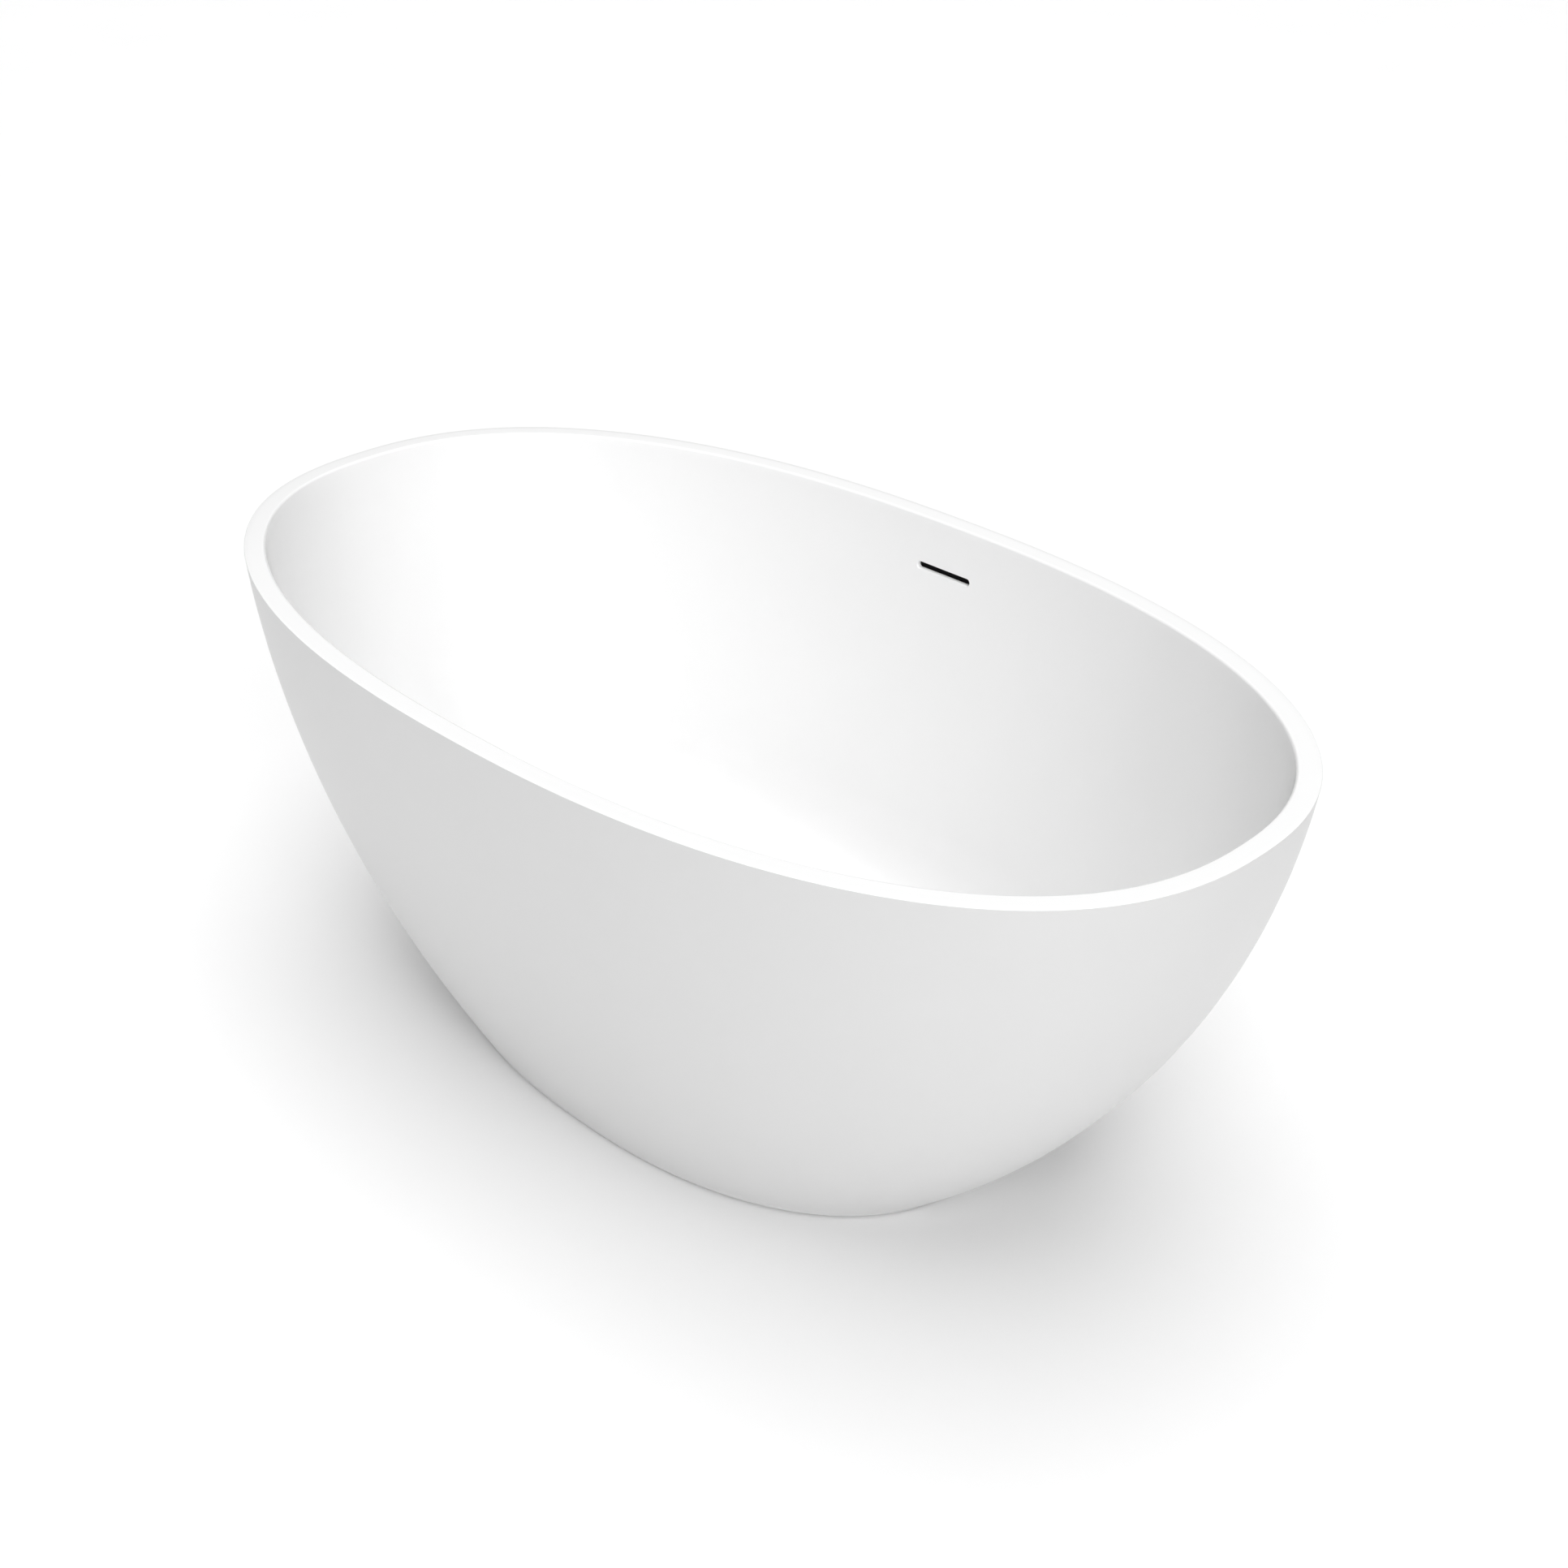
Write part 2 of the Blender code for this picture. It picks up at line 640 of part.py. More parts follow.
def make_cross_bars():
    for end, sign in (("left", -1), ("right", 1)):
        x = sign * BAR_SPACING / 2
        bar = square_tube(f"cross_bar_{end}", 2 * bar_end(), "Y", (x, 0, BAR_TOP - TUBE / 2))
        for corner, _, foot_y in corners():
            if corner.startswith(end):
                hole = prism(
                    f"bar_hole_{corner}", STUD_RADIUS + SCREW_CLEARANCE, BAR_BOTTOM - CUTTER_PAST,
                    BAR_TOP + CUTTER_PAST, (x, foot_y, 0), steps=SMALL_STEPS, home=CUTTERS,
                )
                cut(bar, hole)


# ---------------------------------------------------------------- feet and skirt brackets
def hex_radius(across):
    return across / math.sqrt(3)


def make_nut(name, bottom, x, y):
    nut = prism(name, hex_radius(NUT_ACROSS), bottom, bottom + NUT_HEIGHT, (x, y, 0), STEEL, steps=6)
    hole = prism(
        f"{name}_hole", STUD_RADIUS + SCREW_CLEARANCE, bottom - CUTTER_PAST,
        bottom + NUT_HEIGHT + CUTTER_PAST, (x, y, 0), steps=SMALL_STEPS, home=CUTTERS,
    )
    cut(nut, hole)


def make_foot(corner, x, y):
    """A rubber pad under a steel stud, which screws through two nuts on the cross bar."""
    pad = [
        (0, PAD_HEIGHT), (PAD_RADIUS - 2 * PAD_EDGE, PAD_HEIGHT), (PAD_RADIUS, PAD_HEIGHT - 2 * PAD_EDGE),
        (PAD_RADIUS, PAD_EDGE / 2), (PAD_RADIUS - PAD_EDGE / 2, 0), (0, 0),
    ]
    turned(f"foot_pad_{corner}", pad, RUBBER, steps=SMALL_STEPS, at=(x, y, 0), closed=False)
    hex_bottom = PAD_HEIGHT + GAP
    stud = prism(
        f"foot_stud_{corner}", hex_radius(STUD_HEX_ACROSS), hex_bottom, hex_bottom + STUD_HEX_HEIGHT,
        (x, y, 0), STEEL, steps=6,
    )
    shank = prism(
        f"stud_shank_{corner}", STUD_RADIUS, hex_bottom + STUD_HEX_HEIGHT / 2, STUD_TOP,
        (x, y, 0), steps=SMALL_STEPS, home=CUTTERS,
    )
    join(stud, shank)
    make_nut(f"foot_weld_nut_{corner}", BAR_BOTTOM - GAP - NUT_HEIGHT, x, y)
    make_nut(f"foot_lock_nut_{corner}", BAR_TOP + GAP, x, y)


def bracket_screw_y(corner):
    outer = bracket_end()
    middle = outer - (BRACKET_LEDGE - BRACKET_THICKNESS) / 2
    return middle if corner.endswith("back") else -middle


def make_bracket(corner, x):
    """An angle that ties the cross bar's end to the skirt's flange, with its screw."""
    sign = 1 if corner.endswith("back") else -1
    outer = bracket_end()
    inner = outer - BRACKET_LEDGE
    foot = SKIRT_CLEARANCE + SKIRT_WALL + GAP
    upright = box(
        f"skirt_bracket_{corner}", (BRACKET_WIDTH, BRACKET_THICKNESS, BAR_TOP - foot),
        (x, sign * (inner + BRACKET_THICKNESS / 2), (BAR_TOP + foot) / 2), STEEL,
    )
    ledge = box(
        f"bracket_ledge_{corner}", (BRACKET_WIDTH, outer - inner, BRACKET_THICKNESS),
        (x, sign * (outer + inner) / 2, foot + BRACKET_THICKNESS / 2), None, CUTTERS,
    )
    join(upright, ledge)
    y = bracket_screw_y(corner)
    hole = prism(
        f"bracket_hole_{corner}", SCREW_RADIUS + SCREW_CLEARANCE, foot - CUTTER_PAST, foot + CUTTER_PAST,
        (x, y, 0), steps=SMALL_STEPS, home=CUTTERS,
    )
    cut(upright, hole)
    head = foot + BRACKET_THICKNESS + GAP
    tip = SKIRT_CLEARANCE + SCREW_FLOOR_CLEARANCE
    screw = [
        (0, head + SCREW_HEAD_HEIGHT), (SCREW_HEAD_RADIUS * 0.7, head + SCREW_HEAD_HEIGHT),
        (SCREW_HEAD_RADIUS, head + SCREW_HEAD_HEIGHT * 0.5), (SCREW_HEAD_RADIUS, head),
        (SCREW_RADIUS, head), (SCREW_RADIUS, tip), (0, tip),
    ]
    turned(f"bracket_screw_{corner}", screw, STEEL, steps=SMALL_STEPS, at=(x, y, 0), closed=False)


# ---------------------------------------------------------------- waste
def ring_profile(inner, outer, bottom, top):
    return [(outer, top), (outer, bottom), (inner, bottom), (inner, top)]


def make_waste_flange():
    """The chrome flange in the floor, with its threaded throat and a spider that holds the cartridge."""
    throat_bore = THROAT_RADIUS - THROAT_WALL
    profile = [
        (FLANGE_RADIUS - FLANGE_EDGE, FLANGE_TOP), (FLANGE_RADIUS, FLANGE_TOP - FLANGE_EDGE),
        (FLANGE_RADIUS, FLANGE_BOTTOM), (THROAT_RADIUS, FLANGE_BOTTOM), (THROAT_RADIUS, THROAT_BOTTOM),
        (throat_bore, THROAT_BOTTOM), (throat_bore, FLANGE_TOP - FLANGE_MOUTH),
        (throat_bore + FLANGE_MOUTH, FLANGE_TOP),
    ]
    flange = turned("waste_flange", profile, CHROME)
    boss_top = FLANGE_BOTTOM
    boss_bottom = boss_top - BOSS_HEIGHT
    middle = (boss_top + boss_bottom) / 2
    spoke = 2 * (throat_bore + SPOKE_BITE)
    spider = prism("spider_boss", BOSS_RADIUS, boss_bottom, boss_top, (0, 0, 0), home=CUTTERS)
    for name, size in (
        ("spider_spoke_x", (spoke, SPOKE_WIDTH, BOSS_HEIGHT * SPOKE_SHARE)),
        ("spider_spoke_y", (SPOKE_WIDTH, spoke, BOSS_HEIGHT * SPOKE_SHARE)),
    ):
        join(spider, box(name, size, (0, 0, middle), None, CUTTERS))
    bore = CARTRIDGE_RADIUS + GAP
    hole = prism(
        "spider_bore", bore, boss_bottom - CUTTER_PAST, boss_top + CUTTER_PAST, (0, 0, 0), home=CUTTERS
    )
    cut(spider, hole)
    join(flange, spider)


def make_waste_seals():
    seal_inner = WASTE_HOLE_RADIUS + FLANGE_SEAL_CLEARANCE
    seal_bottom = SEAT_HEIGHT + GAP
    seal = ring_profile(seal_inner, FLANGE_RADIUS, seal_bottom, seal_bottom + FLANGE_SEAL)
    turned("waste_flange_seal", seal, RUBBER)
    gasket_inner = THROAT_RADIUS + BODY_GASKET_CLEARANCE
    gasket = ring_profile(gasket_inner, BODY_FLANGE_RADIUS, BODY_TOP + GAP, SEAT_UNDERSIDE - GAP)
    turned("waste_body_gasket", gasket, RUBBER)


def make_waste_body():
    """The cup under the floor. The flange's throat screws into its collar, the overflow enters at its side,
    and the water leaves through the threaded outlet."""
    collar_bottom = BODY_TOP - COLLAR_DEPTH
    chamber = BODY_RADIUS - BODY_WALL
    profile = [
        (BODY_FLANGE_RADIUS, BODY_TOP), (BODY_FLANGE_RADIUS, BODY_TOP - BODY_FLANGE_THICKNESS),
        (BODY_RADIUS, BODY_TOP - BODY_FLANGE_THICKNESS), (BODY_RADIUS, BODY_BOTTOM),
        (OUTLET_RADIUS, BODY_BOTTOM), (OUTLET_RADIUS, OUTLET_BOTTOM), (OUTLET_BORE, OUTLET_BOTTOM),
        (OUTLET_BORE, BODY_BOTTOM + BODY_WALL), (chamber, BODY_BOTTOM + BODY_WALL), (chamber, collar_bottom),
        (THROAT_RADIUS + GAP, collar_bottom), (THROAT_RADIUS + GAP, BODY_TOP),
    ]
    body = turned("waste_body", profile, BLACK_PLASTIC)
    start, end = chamber + BODY_WALL / 2, BODY_RADIUS + SPIGOT_LENGTH
    towards_back = (-math.pi / 2, 0, 0)
    at = (0, 0, INLET_HEIGHT)
    spigot = HOSE_RADIUS - HOSE_WALL - SPIGOT_CLEARANCE
    pipe = prism(
        "inlet_spigot", spigot, start, end, at, steps=SMALL_STEPS, turn=towards_back, home=CUTTERS
    )
    join(body, pipe)
    bore = prism(
        "inlet_bore", spigot - DUCT_WALL, chamber - CUTTER_PAST, end + CUTTER_PAST, at,
        steps=SMALL_STEPS, turn=towards_back, home=CUTTERS,
    )
    cut(body, bore)


def make_tail():
    """The washer, tail pipe and coupling nut under the outlet, where a trap is joined on."""
    washer_bottom = OUTLET_BOTTOM - GAP - WASHER_THICKNESS
    washer = ring_profile(OUTLET_BORE, OUTLET_RADIUS, washer_bottom, OUTLET_BOTTOM - GAP)
    turned("outlet_washer", washer, RUBBER)
    collar_top = washer_bottom - GAP
    collar_bottom = collar_top - TAIL_COLLAR
    tail_bore = TAIL_RADIUS - TAIL_WALL
    tail = [
        (TAIL_COLLAR_RADIUS, collar_top), (TAIL_COLLAR_RADIUS, collar_bottom), (TAIL_RADIUS, collar_bottom),
        (TAIL_RADIUS, TAIL_CLEARANCE), (tail_bore, TAIL_CLEARANCE), (tail_bore, collar_top),
    ]
    turned("tail_pipe", tail, CHROME)
    lip_top = collar_bottom - GAP
    grip_top = OUTLET_BOTTOM + COUPLING_GRIP
    thread = OUTLET_RADIUS + GAP
    nut = [
        (COUPLING_RADIUS, grip_top), (COUPLING_RADIUS, lip_top - COUPLING_LIP),
        (TAIL_RADIUS + GAP, lip_top - COUPLING_LIP), (TAIL_RADIUS + GAP, lip_top), (thread, lip_top),
        (thread, grip_top),
    ]
    turned("coupling_nut", nut, BLACK_PLASTIC)


# ---------------------------------------------------------------- push plug
def make_plug():
    edge_top = PLUG_BOTTOM + PLUG_EDGE
    cap = [(PLUG_RADIUS * math.sin(a), edge_top + PLUG_DOME * math.cos(a)) for a in spread(0, math.pi / 2, 6)]
    cap += [(PLUG_RADIUS, PLUG_BOTTOM), (0, PLUG_BOTTOM)]
    turned("plug_cap", cap, CHROME, closed=False)
    seal_bottom = FLANGE_TOP + GAP
    seal_inner = PLUG_SEAL_RADIUS - PLUG_SEAL_WIDTH
    seal = ring_profile(seal_inner, PLUG_SEAL_RADIUS, seal_bottom, seal_bottom + PLUG_SEAL)
    turned("plug_seal", seal, RUBBER)
    stem_bottom = CARTRIDGE_BOTTOM + STEM_ABOVE_CARTRIDGE_BOTTOM
    stem = [
        (0, PLUG_BOTTOM - GAP), (STEM_RADIUS, PLUG_BOTTOM - GAP), (STEM_RADIUS, PISTON_TOP),
        (PISTON_RADIUS, PISTON_TOP), (PISTON_RADIUS, PISTON_TOP - PISTON_HEIGHT),
        (STEM_RADIUS, PISTON_TOP - PISTON_HEIGHT), (STEM_RADIUS, stem_bottom), (0, stem_bottom),
    ]
    turned("plug_stem", stem, CHROME, steps=SMALL_STEPS, closed=False)


def make_cartridge():
    """The barrel that holds the plug's latch spring."""
    bore = CARTRIDGE_RADIUS - CARTRIDGE_WALL
    cap_bottom = CARTRIDGE_TOP - CARTRIDGE_CAP
    floor = CARTRIDGE_BOTTOM + CARTRIDGE_FLOOR
    mouth = STEM_RADIUS + SCREW_CLEARANCE
    profile = [
        (0, floor), (bore, floor), (bore, cap_bottom), (mouth, cap_bottom), (mouth, CARTRIDGE_TOP),
        (CARTRIDGE_RADIUS, CARTRIDGE_TOP), (CARTRIDGE_RADIUS, CARTRIDGE_BOTTOM), (0, CARTRIDGE_BOTTOM),
    ]
    turned("plug_cartridge", profile, WHITE_PLASTIC, steps=SMALL_STEPS, closed=False)
    start = floor + SPRING_WIRE + GAP
    end = PISTON_TOP - PISTON_HEIGHT - SPRING_WIRE - GAP
    per_turn = 8
    count = SPRING_TURNS * per_turn
    coil = [
        Vector((
            SPRING_RADIUS * math.cos(2 * math.pi * i / per_turn),
            SPRING_RADIUS * math.sin(2 * math.pi * i / per_turn),
            start + (end - start) * i / count,
        ))
        for i in range(count + 1)
    ]
    wire("plug_spring", coil, SPRING_WIRE, STEEL, sides=1, caps=True)


# ---------------------------------------------------------------- overflow
def duct_band(z):
    """(front, back) distance across the bath of the room for the overflow between the skins."""
    front = inside(z, BASIN_WALL)[1] + OVERFLOW_GASKET + 3 * GAP
    back = outside(z, SKIRT_WALL)[1] - DUCT_SKIRT_CLEARANCE
    return front, back


def spigot_place(neck):
    """How far across the bath the duct's spigot stands: midway between the skins, and clear of the skirt
    as far down as the hose runs straight."""
    front, back = duct_band(neck - SPIGOT_LENGTH / 2)
    straight_foot = neck - SPIGOT_LENGTH - HOSE_BEND_START
    clear_of_skirt = outside(straight_foot, SKIRT_WALL)[1] - HOSE_SKIRT_CLEARANCE - HOSE_RADIUS
    return min((front + back) / 2, clear_of_skirt)


def duct_taper():
    """The height over which the duct narrows: down to where the hose and its clip fit behind the basin."""
    shoulder = SLOT_HEIGHT_ABOVE_GROUND - DUCT_SHOULDER_BELOW_SLOT
    to_front = HOSE_RADIUS + CLIP_BAND + CLIP_CLEARANCE
    taper = DUCT_TAPER
    neck = shoulder - taper
    while spigot_place(neck) - to_front < inside(neck, BASIN_WALL)[1] and neck > FLOOR_HEIGHT:
        taper += DUCT_TAPER_STEP
        neck = shoulder - taper
    return taper


def duct_sections(wall):
    """The overflow duct from its flat top to its round spigot, drawn in by wall."""
    top = SLOT_HEIGHT_ABOVE_GROUND + DUCT_TOP_ABOVE_SLOT
    shoulder = SLOT_HEIGHT_ABOVE_GROUND - DUCT_SHOULDER_BELOW_SLOT
    taper = duct_taper()
    neck = shoulder - taper
    wide = SLOT_LENGTH / 2 + DUCT_SIDE_MARGIN
    spigot = HOSE_RADIUS - HOSE_WALL - SPIGOT_CLEARANCE
    waist = (wide + spigot) / 2
    flat_part = (
        (wide, top - wall, DUCT_SHOULDER_POWER),
        (wide, shoulder, DUCT_SHOULDER_POWER),
        (waist, shoulder - taper / 2, DUCT_WAIST_POWER),
    )
    sections = []
    for half_x, z, power in flat_part:
        front, back = duct_band(z)
        sections.append((half_x - wall, (back - front) / 2 - wall, z, power, (front + back) / 2))
    for z in (neck, neck - SPIGOT_LENGTH - wall):
        sections.append((spigot - wall, spigot - wall, z, 2.0, spigot_place(neck)))
    return sections


def make_overflow_duct():
    """The flat duct behind the slot. Its chamber is open towards the basin's wall."""
    duct = oval_loft("overflow_duct", duct_sections(0.0), BLACK_PLASTIC)
    cut(duct, oval_loft("duct_void", duct_sections(DUCT_WALL), None, home=CUTTERS))
    front, back = duct_band(SLOT_HEIGHT_ABOVE_GROUND)
    mouth_length, mouth_height = SLOT_LENGTH + 2 * DUCT_MOUTH_MARGIN, SLOT_HEIGHT + 2 * DUCT_MOUTH_MARGIN
    mouth = slot_cutter("duct_mouth", mouth_length, mouth_height, front - CUTTER_PAST, (front + back) / 2)
    cut(duct, mouth)


def make_overflow_gasket():
    """A flat seal between the wall's back and the duct, leaning with the wall."""
    z = SLOT_HEIGHT_ABOVE_GROUND
    reach = inside(z, BASIN_WALL)[1]
    step = 0.005
    lean = math.atan2(inside(z + step)[1] - inside(z - step)[1], 2 * step)
    size = (SLOT_LENGTH + 2 * GASKET_MARGIN, OVERFLOW_GASKET, SLOT_HEIGHT + 2 * GASKET_MARGIN)
    gasket = box("overflow_gasket", size, (0, 0, 0), RUBBER)
    gasket.location = (0, reach + OVERFLOW_GASKET / 2 + 2 * GAP, z)
    gasket.rotation_euler = (-lean, 0, 0)
    mouth_length, mouth_height = SLOT_LENGTH + 2 * GASKET_MOUTH_MARGIN, SLOT_HEIGHT + 2 * GASKET_MOUTH_MARGIN
    mouth = slot_cutter("gasket_mouth", mouth_length, mouth_height, reach - CUTTER_PAST, reach + CUTTER_PAST)
    cut(gasket, mouth)


def hose_route():
    """The overflow hose's middle line, from the duct's spigot down between the skins and in to the waste."""
    _, _, spigot_top, _, spigot_y = duct_sections(0.0)[3]
    along_spigot = (0.003, SPIGOT_LENGTH / 2, SPIGOT_LENGTH, SPIGOT_LENGTH + HOSE_BEND_START)
    knots = [Vector((0, spigot_y, spigot_top - below)) for below in along_spigot]
    way_down = spigot_top - HOSE_TURN[0][1] - INLET_HEIGHT
    for below in (share * way_down for share in HOSE_DROPS):
        front, back = duct_band(spigot_top - below)
        knots.append(Vector((0, (front + back) / 2, spigot_top - below)))
    turn_y = knots[-1].y
    knots.extend(Vector((0, turn_y - back, INLET_HEIGHT + above)) for back, above in HOSE_TURN)
    knots.extend(Vector((0, BODY_RADIUS + out, INLET_HEIGHT)) for out in reversed(along_spigot))
    return smooth_route(knots, HOSE_SPACING)


def make_hose():
    """The flexible hose, a tube with a real bore."""
    route = hose_route()
    guide = wire("hose_guide", route, HOSE_RADIUS, GREY_HOSE, sides=4, caps=False)
    graph = bpy.context.evaluated_depsgraph_get()
    mesh = bpy.data.meshes.new_from_object(guide.evaluated_get(graph))
    bpy.data.objects.remove(guide, do_unlink=True)
    hose = add_object("overflow_hose", mesh, None)
    skin = hose.modifiers.new("wall", "SOLIDIFY")
    skin.thickness = HOSE_WALL
    skin.offset = -1
    _, _, spigot_top, _, spigot_y = duct_sections(0.0)[3]
    make_clip("hose_clip_top", (0, spigot_y, spigot_top - SPIGOT_LENGTH / 2), (0, 0, 0))
    make_clip("hose_clip_bottom", (0, BODY_RADIUS + SPIGOT_LENGTH / 2, INLET_HEIGHT), (math.pi / 2, 0, 0))


def make_clip(name, middle, turn):
    """A worm-drive band round the hose."""
    inner = HOSE_RADIUS + 2 * GAP
    half = CLIP_WIDTH / 2
    clip = turned(name, ring_profile(inner, inner + CLIP_BAND, -half, half), STEEL, steps=SMALL_STEPS)
    housing_size = (CLIP_HOUSING_WIDTH, CLIP_HOUSING_LENGTH, CLIP_WIDTH * CLIP_HOUSING_SHARE)
    housing = box(f"{name}_housing", housing_size, (-inner - 2 * CLIP_BAND, 0, 0), None, CUTTERS)
    join(clip, housing)
    for obj in (clip, housing):
        obj.location = middle
        obj.rotation_euler = turn


# ---------------------------------------------------------------- the bath
make_basin()
make_skirt()
make_rim_batten()
make_floor_board()
make_rails()
make_cross_bars()
for corner_name, corner_x, corner_y in corners():
    make_foot(corner_name, corner_x, corner_y)
    make_bracket(corner_name, corner_x)
make_waste_flange()
make_waste_seals()
make_waste_body()
make_tail()
make_plug()
make_cartridge()
make_overflow_duct()
make_overflow_gasket()
make_hose()
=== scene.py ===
# %% [markdown]
# # A freestanding oval bath
#
# The bath is two acrylic skins: a glossy basin with a level rim, and a softer skirt round it. Inside them,
# out of sight from most places, are a steel cradle on four screw feet, a push-to-open waste and a slot
# overflow. The engineering model comes first, as a fixed frame. Every piece below takes its place from it
# and moves with one of its bodies.

# %% The frame
import json
import math

import bmesh
import bpy
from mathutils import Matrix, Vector

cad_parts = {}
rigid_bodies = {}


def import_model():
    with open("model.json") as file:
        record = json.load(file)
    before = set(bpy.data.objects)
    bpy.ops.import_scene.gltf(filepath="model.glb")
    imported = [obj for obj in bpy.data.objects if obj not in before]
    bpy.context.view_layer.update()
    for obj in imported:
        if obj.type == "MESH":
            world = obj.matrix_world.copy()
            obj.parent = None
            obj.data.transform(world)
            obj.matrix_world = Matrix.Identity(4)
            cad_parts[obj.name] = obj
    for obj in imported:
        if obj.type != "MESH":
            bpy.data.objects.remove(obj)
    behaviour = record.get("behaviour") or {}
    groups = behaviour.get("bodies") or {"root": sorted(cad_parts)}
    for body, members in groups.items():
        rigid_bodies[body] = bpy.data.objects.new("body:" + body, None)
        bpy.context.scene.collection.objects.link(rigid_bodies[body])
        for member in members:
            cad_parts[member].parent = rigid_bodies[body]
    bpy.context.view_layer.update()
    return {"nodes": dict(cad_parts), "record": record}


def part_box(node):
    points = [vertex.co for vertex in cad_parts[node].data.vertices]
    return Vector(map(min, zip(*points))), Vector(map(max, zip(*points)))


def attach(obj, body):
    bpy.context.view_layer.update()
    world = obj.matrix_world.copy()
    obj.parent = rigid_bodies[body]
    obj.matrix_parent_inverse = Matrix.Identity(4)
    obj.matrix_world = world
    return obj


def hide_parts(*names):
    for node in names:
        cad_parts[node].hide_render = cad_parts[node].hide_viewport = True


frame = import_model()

# %% [markdown]
# The overall sizes are read from the frame. What the frame can't say, such as how full the oval is and how
# far its walls bulge, is given once here, and every curve of the bath is worked out from it.

# %% Sizes of the bath
RIM_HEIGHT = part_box("basin")[1].z
RIM_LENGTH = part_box("basin")[1].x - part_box("basin")[0].x
RIM_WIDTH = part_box("basin")[1].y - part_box("basin")[0].y
SKIRT_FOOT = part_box("outer_skirt")[0].z
BASE_LENGTH = 0.838
BASE_WIDTH = 0.541
END_BULGE = 0.0657
SIDE_BULGE = 0.0307
OVAL_POWER = 2.31
RIM_FLAT = 0.0263
WALL = 0.006
FLOOR_HEIGHT = 0.140
FLOOR_LENGTH = 0.980
FLOOR_WIDTH = 0.540
FLOOR_FILLET = 0.070
FLOOR_FALL = 0.004
INNER_END_BULGE = 0.050
INNER_SIDE_BULGE = 0.022
SKIRT_FLANGE = 0.035
OVAL_POINTS = 192
print(f"rim {RIM_LENGTH:.3f} x {RIM_WIDTH:.3f} at {RIM_HEIGHT:.3f}")

# %% [markdown]
# Both skins are crowned: seen from the side, each wall is an arc of a circle. These functions give how far
# a wall stands from the middle of the bath at any height, for the outside and for the inside. The inside
# also curls in at the bottom with a fillet that runs into the floor.


# %% The walls as formulas
def arc_reach(z, low, high, reach_low, reach_high, bulge):
    """Distance out from the middle at height z, on an arc that bulges outwards between two heights."""
    rise, run = high - low, reach_high - reach_low
    chord = math.hypot(rise, run)
    radius = chord**2 / (8 * bulge) + bulge / 2
    back = radius - bulge
    centre_reach = (reach_low + reach_high) / 2 - back * rise / chord
    centre_z = (low + high) / 2 + back * run / chord
    return centre_reach + math.sqrt(radius**2 - (z - centre_z) ** 2)


def outside(z, inset=0.0):
    """Half length and half width of the skirt at a height."""
    half_x = arc_reach(z, 0, RIM_HEIGHT, BASE_LENGTH / 2, RIM_LENGTH / 2, END_BULGE)
    half_y = arc_reach(z, 0, RIM_HEIGHT, BASE_WIDTH / 2, RIM_WIDTH / 2, SIDE_BULGE)
    return half_x - inset, half_y - inset


def inside(z, behind=0.0):
    """Half length and half width of the basin at a height, or of the face that lies behind it."""
    top_x, top_y = RIM_LENGTH / 2 - RIM_FLAT, RIM_WIDTH / 2 - RIM_FLAT
    half_x = arc_reach(z, FLOOR_HEIGHT, RIM_HEIGHT, FLOOR_LENGTH / 2, top_x, INNER_END_BULGE)
    half_y = arc_reach(z, FLOOR_HEIGHT, RIM_HEIGHT, FLOOR_WIDTH / 2, top_y, INNER_SIDE_BULGE)
    fillet = FLOOR_FILLET + behind
    rise = min(max((z - FLOOR_HEIGHT + behind) / fillet, 0.0), 1.0)
    drawn_in = fillet * (1 - math.sqrt(1 - (1 - rise) ** 2)) - behind
    return half_x - drawn_in, half_y - drawn_in


def spread(start, end, count):
    """Evenly spaced values from start to end."""
    return [start + (end - start) * i / (count - 1) for i in range(count)]


for z in (0.2, 0.4, 0.6):
    (out_x, out_y), (in_x, in_y) = outside(z), inside(z)
    print(f"at {z:.1f} m: outside {out_x:.3f} x {out_y:.3f}, inside {in_x:.3f} x {in_y:.3f}")

# %% [markdown]
# The camera stands at eye height off one corner of the bath and looks down at it, so that both the long
# side and the empty basin show. The floor is a wide pale sheet. It is stage, not part of the object.

# %% Camera
AIM = Vector((0.0907, 0.0, 0.4113))
CAMERA_AZIMUTH = math.radians(45)
CAMERA_ELEVATION = math.radians(30)
CAMERA_DISTANCE = 2.6186
away = Vector((
    math.sin(CAMERA_AZIMUTH) * math.cos(CAMERA_ELEVATION),
    -math.cos(CAMERA_AZIMUTH) * math.cos(CAMERA_ELEVATION),
    math.sin(CAMERA_ELEVATION),
))
bpy.ops.object.camera_add(
    location=AIM + away * CAMERA_DISTANCE, rotation=(math.pi / 2 - CAMERA_ELEVATION, 0, CAMERA_AZIMUTH)
)
camera = bpy.context.object
camera.name = "camera"
camera.data.lens = 50
camera.data.sensor_width = 36
bpy.context.scene.camera = camera
print("camera at", [round(c, 3) for c in camera.location])

# %% [markdown]
# The light is that of a white studio. The surround looks white to the camera but gives little light, so that
# the sides keep their shape. A very wide light overhead makes the floor white and draws the soft shadow
# under the overhang. A second one stands low behind the camera's right shoulder, a third at the right-hand
# end brightens the far left wall inside, and a weak one comes from behind. They are distant lights rather
# than panels, because a panel's light would fall off across the floor.

